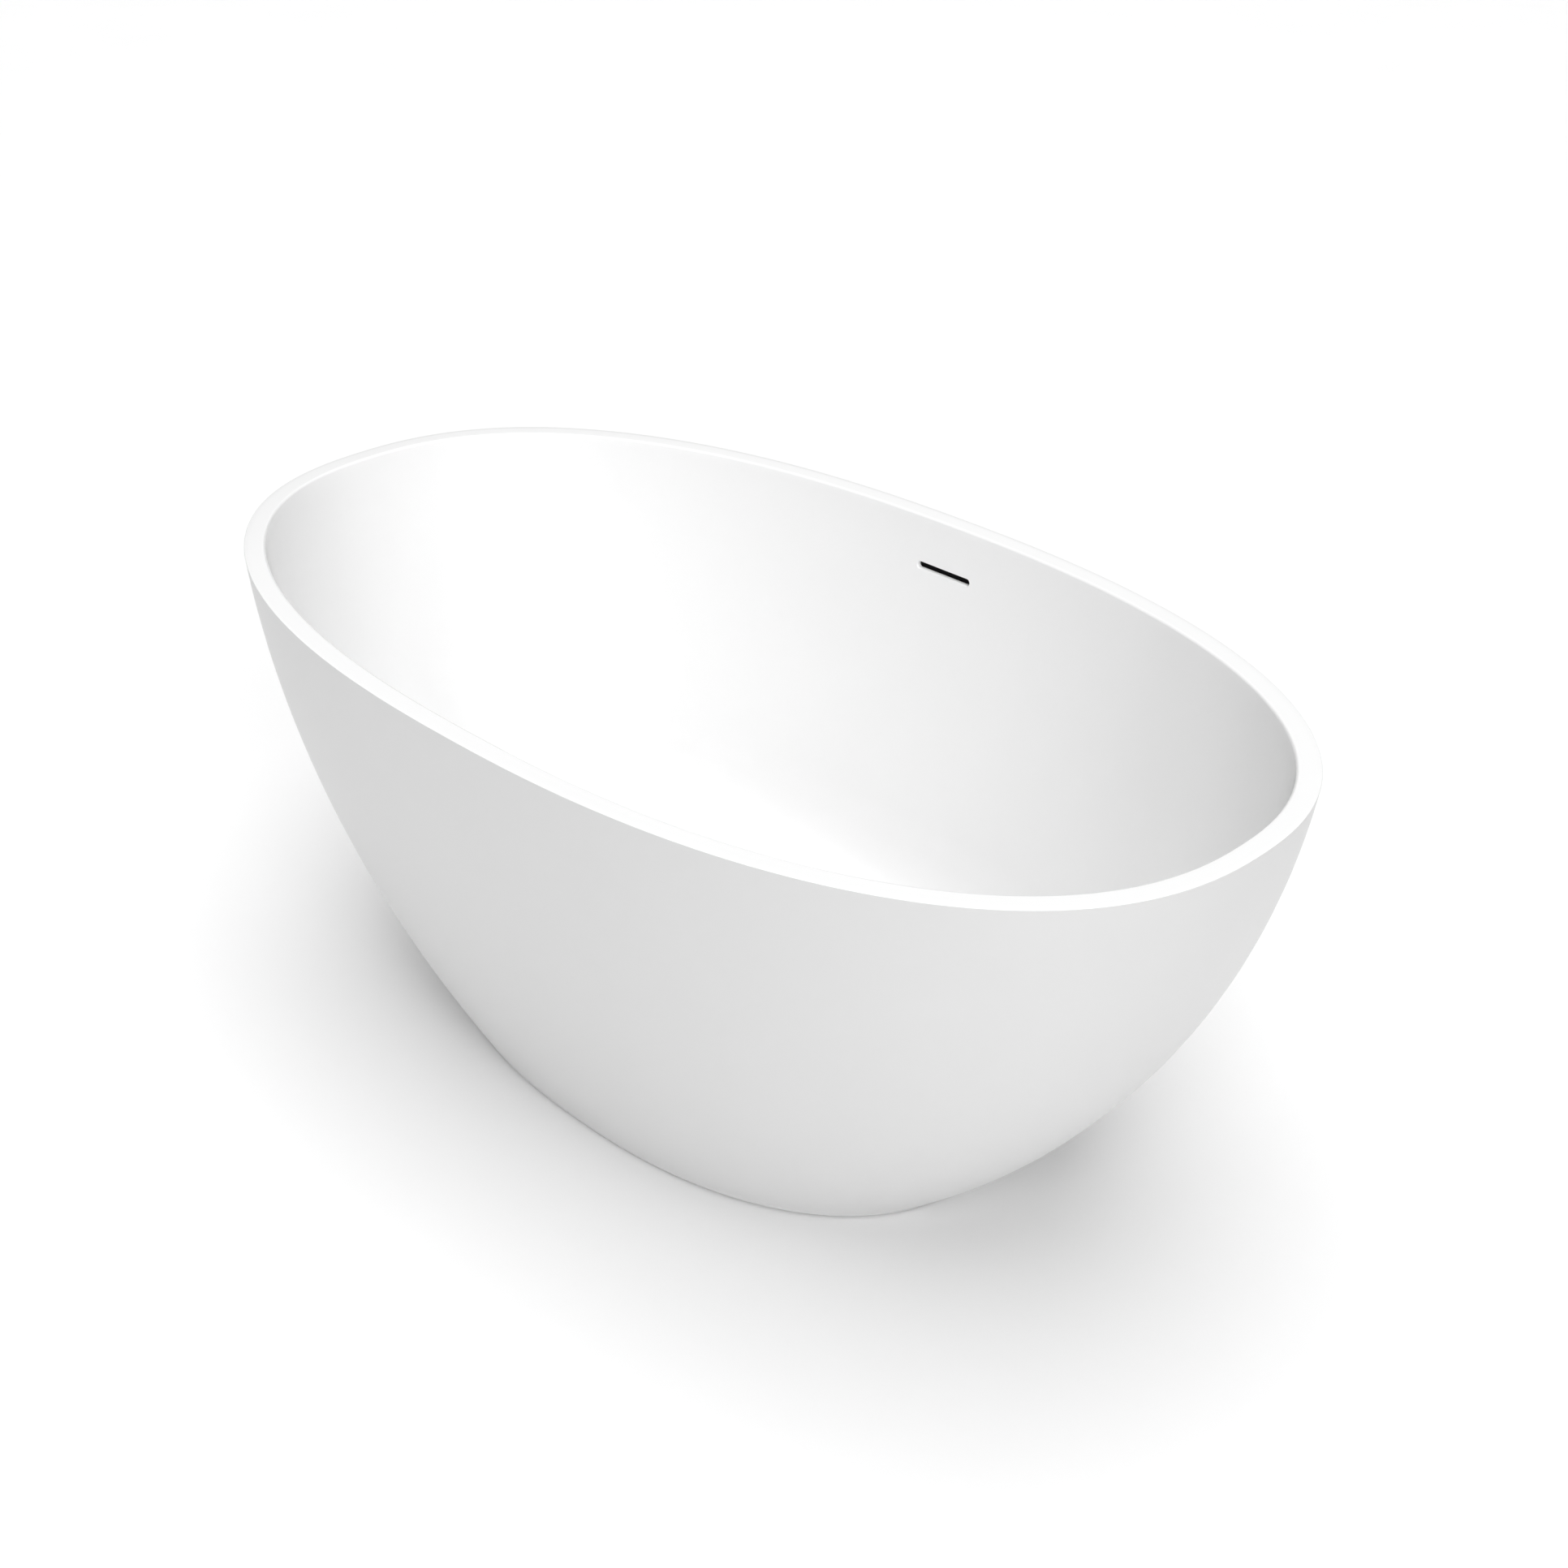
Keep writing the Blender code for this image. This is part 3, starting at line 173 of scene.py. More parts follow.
# %% Light
SURROUND = 0.04
LIGHT_WIDTH = math.radians(60)
bpy.context.scene.view_settings.view_transform = "Standard"
surround = bpy.data.worlds.new("studio")
surround.use_nodes = True
nodes, links = surround.node_tree.nodes, surround.node_tree.links
nodes["Background"].inputs["Color"].default_value = (1.0, 1.0, 1.0, 1.0)
ray = nodes.new("ShaderNodeLightPath")
strength = nodes.new("ShaderNodeMapRange")
strength.inputs["To Min"].default_value = SURROUND
strength.inputs["To Max"].default_value = 1.0
links.new(ray.outputs["Is Camera Ray"], strength.inputs["Value"])
links.new(strength.outputs["Result"], nodes["Background"].inputs["Strength"])
bpy.context.scene.world = surround


def soft_light(name, azimuth, elevation, strength):
    """A distant light as wide as a big diffuser. Azimuth 0 is the +X end of the bath, and 90 its +Y side."""
    bpy.ops.object.light_add(type="SUN")
    lamp = bpy.context.object
    lamp.name = name
    lamp.data.energy = strength
    lamp.data.angle = LIGHT_WIDTH
    turn, lift = math.radians(azimuth), math.radians(elevation)
    source = Vector((math.cos(turn) * math.cos(lift), math.sin(turn) * math.cos(lift), math.sin(lift)))
    lamp.rotation_euler = source.to_track_quat("Z", "Y").to_euler()
    return lamp


lamps = [
    soft_light("overhead", 0, 90, 2.12),
    soft_light("over_the_shoulder", 315, 25, 2.05),
    soft_light("right_end", 0, 25, 0.40),
    soft_light("from_behind", 135, 50, 0.46),
]
print("lights:", [lamp.name for lamp in lamps])

# %% [markdown]
# The floor could be a curved sweep, as in a studio. A flat plane is enough here, because it reaches far past
# the picture's edges.

# %% The floor
bpy.ops.object.select_all(action="DESELECT")
bpy.ops.mesh.primitive_plane_add(size=60)
floor = bpy.context.object
floor.name = "studio_floor"
print("stage:", floor.name)


# %% [markdown]
# ## Finishes
#
# Each finish is one Principled shader with a little life in it: two close tones mixed by noise, a gloss
# that varies slightly, and a bump. Noise reads the Object coordinates, so a pattern has one scale in metres
# on every piece and sits still on it. Values that don't vary are set on the shader's own sockets.


# %% A function that makes a finish
def finish(name, tones, roughness, metallic=0.0, grain=40.0, stretch=(1, 1, 1), bump=0.0, depth=0.0001):
    """A material with two tones and a range of roughness, both mixed by noise of a given grain."""
    made = bpy.data.materials.new(name)
    made.use_nodes = True
    nodes, links = made.node_tree.nodes, made.node_tree.links
    shader = nodes["Principled BSDF"]
    shader.inputs["Metallic"].default_value = metallic
    place = nodes.new("ShaderNodeTexCoord")
    lay = nodes.new("ShaderNodeMapping")
    lay.inputs["Scale"].default_value = stretch
    noise = nodes.new("ShaderNodeTexNoise")
    noise.inputs["Scale"].default_value = grain
    noise.inputs["Detail"].default_value = 4.0
    links.new(place.outputs["Object"], lay.inputs["Vector"])
    links.new(lay.outputs["Vector"], noise.inputs["Vector"])
    tone = nodes.new("ShaderNodeMix")
    tone.data_type = "RGBA"
    tone.inputs[6].default_value = (*tones[0], 1.0)
    tone.inputs[7].default_value = (*tones[1], 1.0)
    links.new(noise.outputs["Fac"], tone.inputs["Factor"])
    links.new(tone.outputs[2], shader.inputs["Base Color"])
    sheen = nodes.new("ShaderNodeMapRange")
    sheen.inputs["To Min"].default_value = roughness[0]
    sheen.inputs["To Max"].default_value = roughness[1]
    links.new(noise.outputs["Fac"], sheen.inputs["Value"])
    links.new(sheen.outputs["Result"], shader.inputs["Roughness"])
    if bump:
        relief = nodes.new("ShaderNodeBump")
        relief.inputs["Strength"].default_value = bump
        relief.inputs["Distance"].default_value = depth
        links.new(noise.outputs["Fac"], relief.inputs["Height"])
        links.new(relief.outputs["Normal"], shader.inputs["Normal"])
    return made


BASIN_FINISH = finish(
    "glossy_acrylic", ((0.880, 0.880, 0.880), (0.900, 0.900, 0.900)), (0.10, 0.16), grain=7, bump=0.2
)
# The skirt is the same white acrylic as the basin. Its darker tone is painted shade, which keeps its sides
# grey.
SHADED_SKIRT_FINISH = finish(
    "satin_acrylic_painted_shade", ((0.612, 0.612, 0.612), (0.628, 0.628, 0.628)), (0.28, 0.36), grain=9, bump=0.2
)
BOARD_FINISH = finish(
    "coated_board", ((0.30, 0.20, 0.11), (0.62, 0.48, 0.30)), (0.55, 0.85), grain=320, bump=0.7
)
STEEL_FINISH = finish(
    "zinc_steel", ((0.50, 0.53, 0.56), (0.74, 0.75, 0.74)), (0.22, 0.42), metallic=1.0, grain=90, bump=0.15
)
BRIGHT_FINISH = finish(
    "bright_steel", ((0.66, 0.67, 0.68), (0.76, 0.77, 0.78)), (0.15, 0.25), metallic=1.0, grain=300
)
CHROME_FINISH = finish(
    "polished_chrome", ((0.80, 0.81, 0.83), (0.86, 0.87, 0.88)), (0.04, 0.08), metallic=1.0, grain=60
)
BLACK_FINISH = finish(
    "black_moulding", ((0.020, 0.020, 0.021), (0.035, 0.035, 0.036)), (0.38, 0.52), grain=700, bump=0.3
)
WHITE_FINISH = finish(
    "white_moulding", ((0.78, 0.78, 0.76), (0.86, 0.86, 0.84)), (0.35, 0.45), grain=500, bump=0.2
)
HOSE_FINISH = finish(
    "grey_hose", ((0.34, 0.35, 0.36), (0.46, 0.47, 0.48)), (0.45, 0.60), grain=400, bump=0.3
)
RUBBER_FINISH = finish(
    "black_rubber", ((0.012, 0.012, 0.012), (0.030, 0.030, 0.030)), (0.70, 0.88), grain=900, bump=0.5
)
FLOOR_FINISH = finish("pale_floor", ((0.925, 0.925, 0.925), (0.935, 0.935, 0.935)), (0.55, 0.65), grain=3)
floor.data.materials.append(FLOOR_FINISH)
print("finishes:", len(bpy.data.materials))

# %% [markdown]
# ## How the pieces are shaped
#
# Nearly every piece here is a stack of rings. It could be drawn as a profile and turned, but the bath isn't
# round, so one way of working serves both: a circle is added, its points are moved on to the bath's fuller
# oval where that is wanted, and then the ring is extruded and resized, again and again, along the wall.
# Because every ring of the bath is the same oval at another size, a plain resize is exact.


# %% Helpers for rings
SHARP_ANGLE = math.radians(40)  # an edge that turns more than this is rounded
NEARLY = 0.9  # the share of a length or a direction that counts as all of it
THROUGH = 0.01  # how far a cutter sticks out of what it cuts
OVERLAP = 0.001  # how far two joined parts run into each other
SLACK = 0.001  # how far from a height still counts as at it


def selected_box():
    """Lowest and highest corner of the selected points of the piece that is being edited."""
    mesh = bmesh.from_edit_mesh(bpy.context.object.data)
    places = [vert.co for vert in mesh.verts if vert.select]
    low = Vector([min(place[axis] for place in places) for axis in range(3)])
    high = Vector([max(place[axis] for place in places) for axis in range(3)])
    return low, high


def add_ring(half_x, half_y, z, points, power=2.0, middle=(0.0, 0.0)):
    """Adds a circle to the piece that is being edited and makes it an oval. It is left selected."""
    bpy.ops.mesh.primitive_circle_add(vertices=points, radius=1, location=(0, 0, 0))
    mesh = bmesh.from_edit_mesh(bpy.context.object.data)
    share = 2 / power
    for vert in mesh.verts:
        if vert.select:
            vert.co.x = math.copysign(abs(vert.co.x) ** share, vert.co.x)
            vert.co.y = math.copysign(abs(vert.co.y) ** share, vert.co.y)
    bmesh.update_edit_mesh(bpy.context.object.data)
    bpy.ops.transform.resize(value=(half_x, half_y, 1), center_override=(0, 0, 0))
    bpy.ops.transform.translate(value=(middle[0], middle[1], z))


def start_piece(name):
    """A new piece with nothing in it yet, opened in edit mode."""
    bpy.ops.object.select_all(action="DESELECT")
    bpy.ops.mesh.primitive_plane_add(size=1, enter_editmode=True, location=(0, 0, 0))
    bpy.ops.mesh.delete(type="VERT")
    piece = bpy.context.object
    piece.name = piece.data.name = name
    return piece


def walk(sections):
    """Extrudes the selected ring through a list of (half_x, half_y, z), keeping its middle."""
    for half_x, half_y, z in sections:
        low, high = selected_box()
        size, middle = high - low, (low + high) / 2
        bpy.ops.mesh.extrude_edges_move()
        bpy.ops.transform.resize(value=(2 * half_x / size.x, 2 * half_y / size.y, 1), center_override=middle)
        bpy.ops.transform.translate(value=(0, 0, z - middle.z))


def select_open_edges(wanted=lambda place: True):
    """Selects the open edges whose middle is wanted, and nothing else."""
    bpy.ops.mesh.select_mode(type="EDGE")
    bpy.ops.mesh.select_all(action="DESELECT")
    mesh = bmesh.from_edit_mesh(bpy.context.object.data)
    for edge in mesh.edges:
        if len(edge.link_faces) < 2 and wanted((edge.verts[0].co + edge.verts[1].co) / 2):
            edge.select_set(True)
    mesh.select_flush(True)
    bmesh.update_edit_mesh(bpy.context.object.data)


def pick(piece):
    """Makes a piece the only one that is selected, and the active one."""
    bpy.ops.object.select_all(action="DESELECT")
    bpy.context.view_layer.objects.active = piece
    piece.select_set(True)


def shaped(piece, kind, **settings):
    """Adds a modifier with the given settings and applies it."""
    pick(piece)
    modifier = piece.modifiers.new(kind.lower(), kind)
    for setting, value in settings.items():
        setattr(modifier, setting, value)
    bpy.ops.object.modifier_apply(modifier=modifier.name)


def combine(piece, other, operation="DIFFERENCE"):
    """Cuts a piece with another, joins them or keeps what they share. The other is then removed."""
    shaped(piece, "BOOLEAN", operation=operation, solver="EXACT", object=other)
    bpy.data.objects.remove(other, do_unlink=True)


def dress(piece, material, smooth=30):
    """Gives a piece its material and its smooth shading."""
    pick(piece)
    piece.data.materials.clear()
    piece.data.materials.append(material)
    bpy.ops.object.shade_smooth_by_angle(angle=math.radians(smooth))
    return piece


def finish_piece(piece, material, smooth=30):
    """Closes edit mode, turns the faces outwards and gives the piece its material."""
    bpy.ops.mesh.select_all(action="SELECT")
    bpy.ops.mesh.remove_doubles(threshold=0.000001)
    bpy.ops.mesh.normals_make_consistent(inside=False)
    bpy.ops.object.mode_set(mode="OBJECT")
    return dress(piece, material, smooth)


def open_edges(piece):
    """How many edges of a piece don't lie between exactly two faces. A sound solid has none."""
    faces_at = {}
    for polygon in piece.data.polygons:
        for key in polygon.edge_keys:
            faces_at[key] = faces_at.get(key, 0) + 1
    return sum(1 for count in faces_at.values() if count != 2)


def place_piece(piece, body, node):
    """The piece moves with a body and stands for a node, which is hidden."""
    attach(piece, body)
    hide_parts(node)
    return piece


def turned(name, profile, material, middle=(0.0, 0.0), ring=True, edge=0.0003, points=96):
    """A turned piece from (radius, height) pairs. A ring closes on itself, and any other has flat ends.
    Its hard edges are rounded by the edge's width."""
    piece = start_piece(name)
    radius, height = profile[0]
    add_ring(radius, radius, height, points, middle=middle)
    walk([(radius, radius, height) for radius, height in profile[1:]])
    select_open_edges()
    if ring:
        bpy.ops.mesh.bridge_edge_loops()
    else:
        bpy.ops.mesh.fill_holes(sides=0)
    finish_piece(piece, material)
    if edge:
        shaped(piece, "BEVEL", width=edge, segments=2, limit_method="ANGLE", angle_limit=SHARP_ANGLE)
        dress(piece, material)
    return piece


def block(name, low, high, edge=0.0):
    """A block between two corners, with rounded edges if asked."""
    low, high = Vector(low), Vector(high)
    bpy.ops.object.select_all(action="DESELECT")
    bpy.ops.mesh.primitive_cube_add(size=1, location=(low + high) / 2, scale=high - low)
    piece = bpy.context.object
    piece.name = piece.data.name = name
    bpy.ops.object.transform_apply(location=True, rotation=True, scale=True)
    if edge:
        shaped(piece, "BEVEL", width=edge, segments=3)
    return piece


def corners_of(middle, size):
    """The lowest and highest corner of a block with a given middle and size."""
    return Vector(middle) - Vector(size) / 2, Vector(middle) + Vector(size) / 2


def rod(name, radius, start, end, sides=48):
    """A cylinder, or another prism, between two points."""
    start, end = Vector(start), Vector(end)
    bpy.ops.object.select_all(action="DESELECT")
    bpy.ops.mesh.primitive_cylinder_add(vertices=sides, radius=radius, depth=(end - start).length)
    piece = bpy.context.object
    piece.name = piece.data.name = name
    return moved(piece, (start + end) / 2, (end - start).to_track_quat("Z", "Y").to_euler())


def moved(piece, place, turn):
    """Turns a piece about the origin, moves it, and bakes both in."""
    pick(piece)
    piece.rotation_euler = turn
    piece.location = place
    bpy.ops.object.transform_apply(location=True, rotation=True, scale=True)
    return piece


def raise_ribs(piece, count, share, low, high, out, middle=(0.0, 0.0)):
    """Raises upright ribs on a round wall between two heights. The share is a rib's part of each step."""
    pick(piece)
    bpy.ops.object.mode_set(mode="EDIT")
    bpy.ops.mesh.select_mode(type="FACE")
    bpy.ops.mesh.select_all(action="DESELECT")
    mesh = bmesh.from_edit_mesh(piece.data)
    radius = 0.0
    for face in mesh.faces:
        reach = face.calc_center_median() - Vector((*middle, 0))
        outward = reach.x * face.normal.x + reach.y * face.normal.y
        step = (math.atan2(reach.y, reach.x) / (2 * math.pi) * count) % 1
        if outward > NEARLY * math.hypot(reach.x, reach.y) and low < reach.z < high and step < share:
            face.select_set(True)
            radius = max(radius, math.hypot(reach.x, reach.y))
    bmesh.update_edit_mesh(piece.data)
    bpy.ops.mesh.extrude_region_move()
    grown = (radius + out) / radius
    bpy.ops.transform.resize(value=(grown, grown, 1), center_override=(*middle, 0))
    bpy.ops.object.mode_set(mode="OBJECT")


# %% [markdown]
# ## The basin
#
# The real basin is one acrylic sheet drawn down into a mould: a level rim, an inner edge that the hand
# slides over, crowned walls, a wide fillet and a floor that falls a few millimetres to the waste. It could
# be a solid with its inside cut away, but then the wall would have no even thickness. Instead its visible
# face is walked down ring by ring, the floor is bridged to a round recess, and the back is walked up again.

# %% The basin's shell
LIP_FOOT = RIM_HEIGHT - WALL
LIP_STEP = 0.002
RIM_SHARES = (0.25, 0.5, 0.75, 0.95)  # where the flat rim has rings, from its outer edge inwards
OUTER_EDGE = 0.0012
INNER_EDGE = 0.003
WALL_RINGS = 36
FILLET_RINGS = 16
BACK_FILLET_RINGS = 8
BACK_WALL_RINGS = 12
WASTE_RECESS = 0.038
WASTE_RECESS_DEPTH = 0.006
WASTE_HOLE = 0.026
DISH = FLOOR_HEIGHT - FLOOR_FALL
SEAT = DISH - WASTE_RECESS_DEPTH
RECESS_EDGE = ((0.0020, 0.0), (0.0005, 0.001), (0.0, 0.003))
FLOOR_RINGS = 8


def rounded_edge(start_angle, end_angle, steps):
    """(share across, share down) along a quarter round."""
    angles = [math.radians(angle) for angle in spread(start_angle, end_angle, steps)]
    return [(math.cos(angle), math.sin(angle)) for angle in angles]


def visible_face():
    """The basin from its lip's foot over the rim and down to the edge of its floor."""
    rim_x, rim_y = outside(RIM_HEIGHT)
    face = [(*outside(z), z) for z in (LIP_FOOT + LIP_STEP, RIM_HEIGHT - 2 * OUTER_EDGE)]
    for across, down in rounded_edge(0, 90, 6):
        draw_in = OUTER_EDGE * (1 - across)
        face.append((rim_x - draw_in, rim_y - draw_in, RIM_HEIGHT - OUTER_EDGE * (1 - down)))
    wall_x, wall_y = inside(RIM_HEIGHT)
    for share in RIM_SHARES:
        edge_x, edge_y = wall_x + INNER_EDGE, wall_y + INNER_EDGE
        draw_x = rim_x - OUTER_EDGE - edge_x
        draw_y = rim_y - OUTER_EDGE - edge_y
        face.append((rim_x - OUTER_EDGE - draw_x * share, rim_y - OUTER_EDGE - draw_y * share, RIM_HEIGHT))
    for across, down in rounded_edge(90, 0, 9):
        out = INNER_EDGE * (1 - across)
        z = RIM_HEIGHT - INNER_EDGE * (1 - down)
        wall_x, wall_y = inside(z)
        face.append((wall_x + out, wall_y + out, z))
    for z in spread(RIM_HEIGHT - INNER_EDGE, FLOOR_HEIGHT + FLOOR_FILLET, WALL_RINGS)[1:]:
        face.append((*inside(z), z))
    for step in range(1, FILLET_RINGS + 1):
        z = FLOOR_HEIGHT + FLOOR_FILLET * (1 - math.sin(math.pi / 2 * step / FILLET_RINGS))
        face.append((*inside(z), z))
    return face


def hidden_face():
    """The back of the basin, from the edge of its floor up to the foot of its lip."""
    top, floor_back, fillet = LIP_FOOT, FLOOR_HEIGHT - WALL, FLOOR_FILLET + WALL
    face = []
    for step in range(BACK_FILLET_RINGS, 0, -1):
        z = floor_back + fillet * (1 - math.sin(math.pi / 2 * step / BACK_FILLET_RINGS))
        face.append((*inside(z, WALL), z))
    for z in spread(floor_back + fillet, top, BACK_WALL_RINGS):
        face.append((*inside(z, WALL), z))
    return face


recess_back = WASTE_RECESS + WALL
recess = [(WASTE_RECESS + out, DISH - down) for out, down in RECESS_EDGE]
recess += [(WASTE_RECESS, SEAT), (WASTE_HOLE, SEAT), (WASTE_HOLE, SEAT - WALL)]
recess += [(recess_back, SEAT - WALL), (recess_back, DISH - WALL)]
basin = start_piece("basin_skin")
add_ring(*outside(LIP_FOOT), LIP_FOOT, OVAL_POINTS, OVAL_POWER)
walk(visible_face())
add_ring(recess[0][0], recess[0][0], DISH, OVAL_POINTS)
select_open_edges(lambda place: place.z < FLOOR_HEIGHT + SLACK)
bpy.ops.mesh.bridge_edge_loops(number_cuts=FLOOR_RINGS)
select_open_edges(lambda place: place.z < FLOOR_HEIGHT)
walk([(radius, radius, z) for radius, z in recess[1:]])
back = hidden_face()
add_ring(*back[0], OVAL_POINTS, OVAL_POWER)
select_open_edges(lambda place: place.z < FLOOR_HEIGHT)
bpy.ops.mesh.bridge_edge_loops(number_cuts=2)
select_open_edges(lambda place: place.z < FLOOR_HEIGHT)
walk(back[1:])
select_open_edges()
bpy.ops.mesh.bridge_edge_loops()
finish_piece(basin, BASIN_FINISH, smooth=40)
print("basin:", len(basin.data.polygons), "faces, open edges:", open_edges(basin))

# %% [markdown]
# The overflow is a plain slot through the far wall, with round ends and no trim. It could be left out of the
# rings, but a slot crosses them at no tidy place, so a round-ended bar is subtracted instead. The bar is a
# cube with a cylinder's roundness at each end, made by bevelling its four lengthwise edges all the way. The
# lip's narrow outer face takes the skirt's finish: its satin gloss, and the skirt's painted shade.

# %% The overflow slot
SLOT_LENGTH = 0.089
SLOT_HEIGHT = 0.009
SLOT_FLARE = 0.001
ALMOST_ALL = 0.999
BAR_STEPS = 12
LIP_FACE_TURN = 0.7
SLOT_CUT = 0.04
SLOT_BELOW_RIM = 0.067
SLOT_Z = RIM_HEIGHT - SLOT_BELOW_RIM


def round_bar(name, length, height, middle, depth, flare=0.0):
    """A bar through Y whose ends are half round. Its face towards -Y may be larger by a flare all round."""
    bar = block(name, *corners_of(middle, (length, depth, height)))
    bpy.ops.object.mode_set(mode="EDIT")
    bpy.ops.mesh.select_mode(type="EDGE")
    bpy.ops.mesh.select_all(action="DESELECT")
    mesh = bmesh.from_edit_mesh(bar.data)
    for edge in mesh.edges:
        run = edge.verts[1].co - edge.verts[0].co
        if abs(run.y) > NEARLY * depth:
            edge.select_set(True)
    bmesh.update_edit_mesh(bar.data)
    bpy.ops.mesh.bevel(offset=height / 2 * ALMOST_ALL, segments=BAR_STEPS)
    if flare:
        bpy.ops.mesh.select_mode(type="FACE")
        bpy.ops.mesh.select_all(action="DESELECT")
        mesh = bmesh.from_edit_mesh(bar.data)
        for face in mesh.faces:
            if face.normal.y < -NEARLY:
                face.select_set(True)
        bmesh.update_edit_mesh(bar.data)
        grown = (1 + 2 * flare / length, 1, 1 + 2 * flare / height)
        bpy.ops.transform.resize(value=grown, center_override=middle)
    bpy.ops.object.mode_set(mode="OBJECT")
    return bar


wall_y = inside(SLOT_Z)[1]
combine(basin, round_bar("slot_bar", SLOT_LENGTH, SLOT_HEIGHT, (0, wall_y, SLOT_Z), SLOT_CUT))
flare_middle = (0, wall_y - SLOT_FLARE, SLOT_Z)
flare_bar = round_bar(
    "slot_flare", SLOT_LENGTH, SLOT_HEIGHT, flare_middle, 4 * SLOT_FLARE, flare=3 * SLOT_FLARE
)
combine(basin, flare_bar)
dress(basin, BASIN_FINISH, smooth=40)
# The lip's outer face gets the skirt's darker tone, which is painted shade.
basin.data.materials.append(SHADED_SKIRT_FINISH)
for polygon in basin.data.polygons:
    outward = polygon.center.x * polygon.normal.x + polygon.center.y * polygon.normal.y
    if polygon.center.z > LIP_FOOT and outward > 0 and polygon.normal.z < LIP_FACE_TURN:
        polygon.material_index = 1
place_piece(basin, "bath", "basin")
print("basin with its slot:", len(basin.data.polygons), "faces")

# %% [markdown]
# ## The skirt
#
# The outer skin is drawn over a mould too. It hangs from under the rim's lip, tapers on the same arcs that
# the eye reads as the bath's outline, and turns in at its foot, where it stops two millimetres short of the
# floor. That gap is the thin dark line under a real bath.

# %% The skirt's shell
FOOT_EDGE = 0.004
SCREW_HOLE = 0.0034
skirt = start_piece("skirt_skin")
add_ring(*outside(LIP_FOOT), LIP_FOOT, OVAL_POINTS, OVAL_POWER)
sections = [(*outside(z), z) for z in spread(LIP_FOOT, SKIRT_FOOT + FOOT_EDGE, 48)[1:]]
foot_x, foot_y = outside(SKIRT_FOOT + FOOT_EDGE)
for across, down in rounded_edge(0, 90, 7)[1:]:
    draw_in = FOOT_EDGE * (1 - across)
    sections.append((foot_x - draw_in, foot_y - draw_in, SKIRT_FOOT + FOOT_EDGE * (1 - down)))
lip_x, lip_y = outside(0, SKIRT_FLANGE)
sections += [(lip_x, lip_y, SKIRT_FOOT), (lip_x, lip_y, SKIRT_FOOT + WALL)]
sections += [(*outside(z, WALL), z) for z in spread(SKIRT_FOOT + WALL, LIP_FOOT, 16)]
walk(sections)
select_open_edges()
bpy.ops.mesh.bridge_edge_loops()
# The skirt's darker tone is painted shade.
finish_piece(skirt, SHADED_SKIRT_FINISH, smooth=40)
CORNERS = [f"{end}_{side}" for end in ("left", "right") for side in ("front", "back")]
for corner in CORNERS:
    low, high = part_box(f"bracket_screw_{corner}")
    x, y = (low.x + high.x) / 2, (low.y + high.y) / 2
    combine(skirt, rod("hole", SCREW_HOLE, (x, y, SKIRT_FOOT - THROUGH), (x, y, SKIRT_FOOT + THROUGH)))
dress(skirt, SHADED_SKIRT_FINISH, smooth=40)
place_piece(skirt, "bath", "outer_skirt")
print("skirt:", len(skirt.data.polygons), "faces, open edges:", open_edges(skirt))

# %% [markdown]
# Between the two skins, just under the rim, runs an oval strip of board that both are bonded to. It can be
# seen only from below. It is the same kind of ring, with four corners.

# %% The batten under the rim
batten_low, batten_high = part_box("rim_batten")
BATTEN_CLEARANCE = 0.002
batten = start_piece("rim_strip")
outer_top = outside(batten_high.z, WALL + BATTEN_CLEARANCE)
outer_bottom = outside(batten_low.z, WALL + BATTEN_CLEARANCE)
inner_bottom = inside(batten_low.z, WALL + BATTEN_CLEARANCE)
inner_top = inside(batten_high.z, WALL + BATTEN_CLEARANCE)
add_ring(*outer_top, batten_high.z, OVAL_POINTS, OVAL_POWER)
walk([(*outer_bottom, batten_low.z), (*inner_bottom, batten_low.z), (*inner_top, batten_high.z)])
select_open_edges()
bpy.ops.mesh.bridge_edge_loops()
finish_piece(batten, BOARD_FINISH)
place_piece(batten, "bath", "rim_batten")
print("batten:", len(batten.data.polygons), "faces, open edges:", open_edges(batten))

# %% [markdown]
# ## The push plug and the waste
#
# The waste sits in a round recess in the middle of the floor. These pieces really are round, so each is a
# profile of (radius, height) pairs turned about the middle. Heights and outer radii are read from the frame,
# and hard edges get a small round, because an edge without one never catches the light.

# %% The push plug
PLUG_EDGE = 0.002
STEM_RADIUS = 0.003
PISTON_HEIGHT = 0.0015
PISTON_BELOW_BARREL_TOP = 0.0115
ON_AXIS = 0.0004
DOME_START = 0.012
DOME_STEPS = 28
PLUG_SEAL_BORE = 0.022
low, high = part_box("plug_cap")
dome_height = high.z - low.z - PLUG_EDGE
dome = [
    (high.x * math.sin(angle), low.z + PLUG_EDGE + dome_height * math.cos(angle))
    for angle in spread(DOME_START, math.pi / 2, DOME_STEPS)
]
plug_cap = turned("plug_dome", [*dome, (high.x, low.z)], CHROME_FINISH, ring=False)
place_piece(plug_cap, "plug", "plug_cap")


def washer(name, node, body, material, inner, edge=0.0004):
    """A flat ring of a node's size, with the given inner radius."""
    low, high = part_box(node)
    profile = [(high.x, high.z), (high.x, low.z), (inner, low.z), (inner, high.z)]
    return place_piece(turned(name, profile, material, edge=edge), body, node)


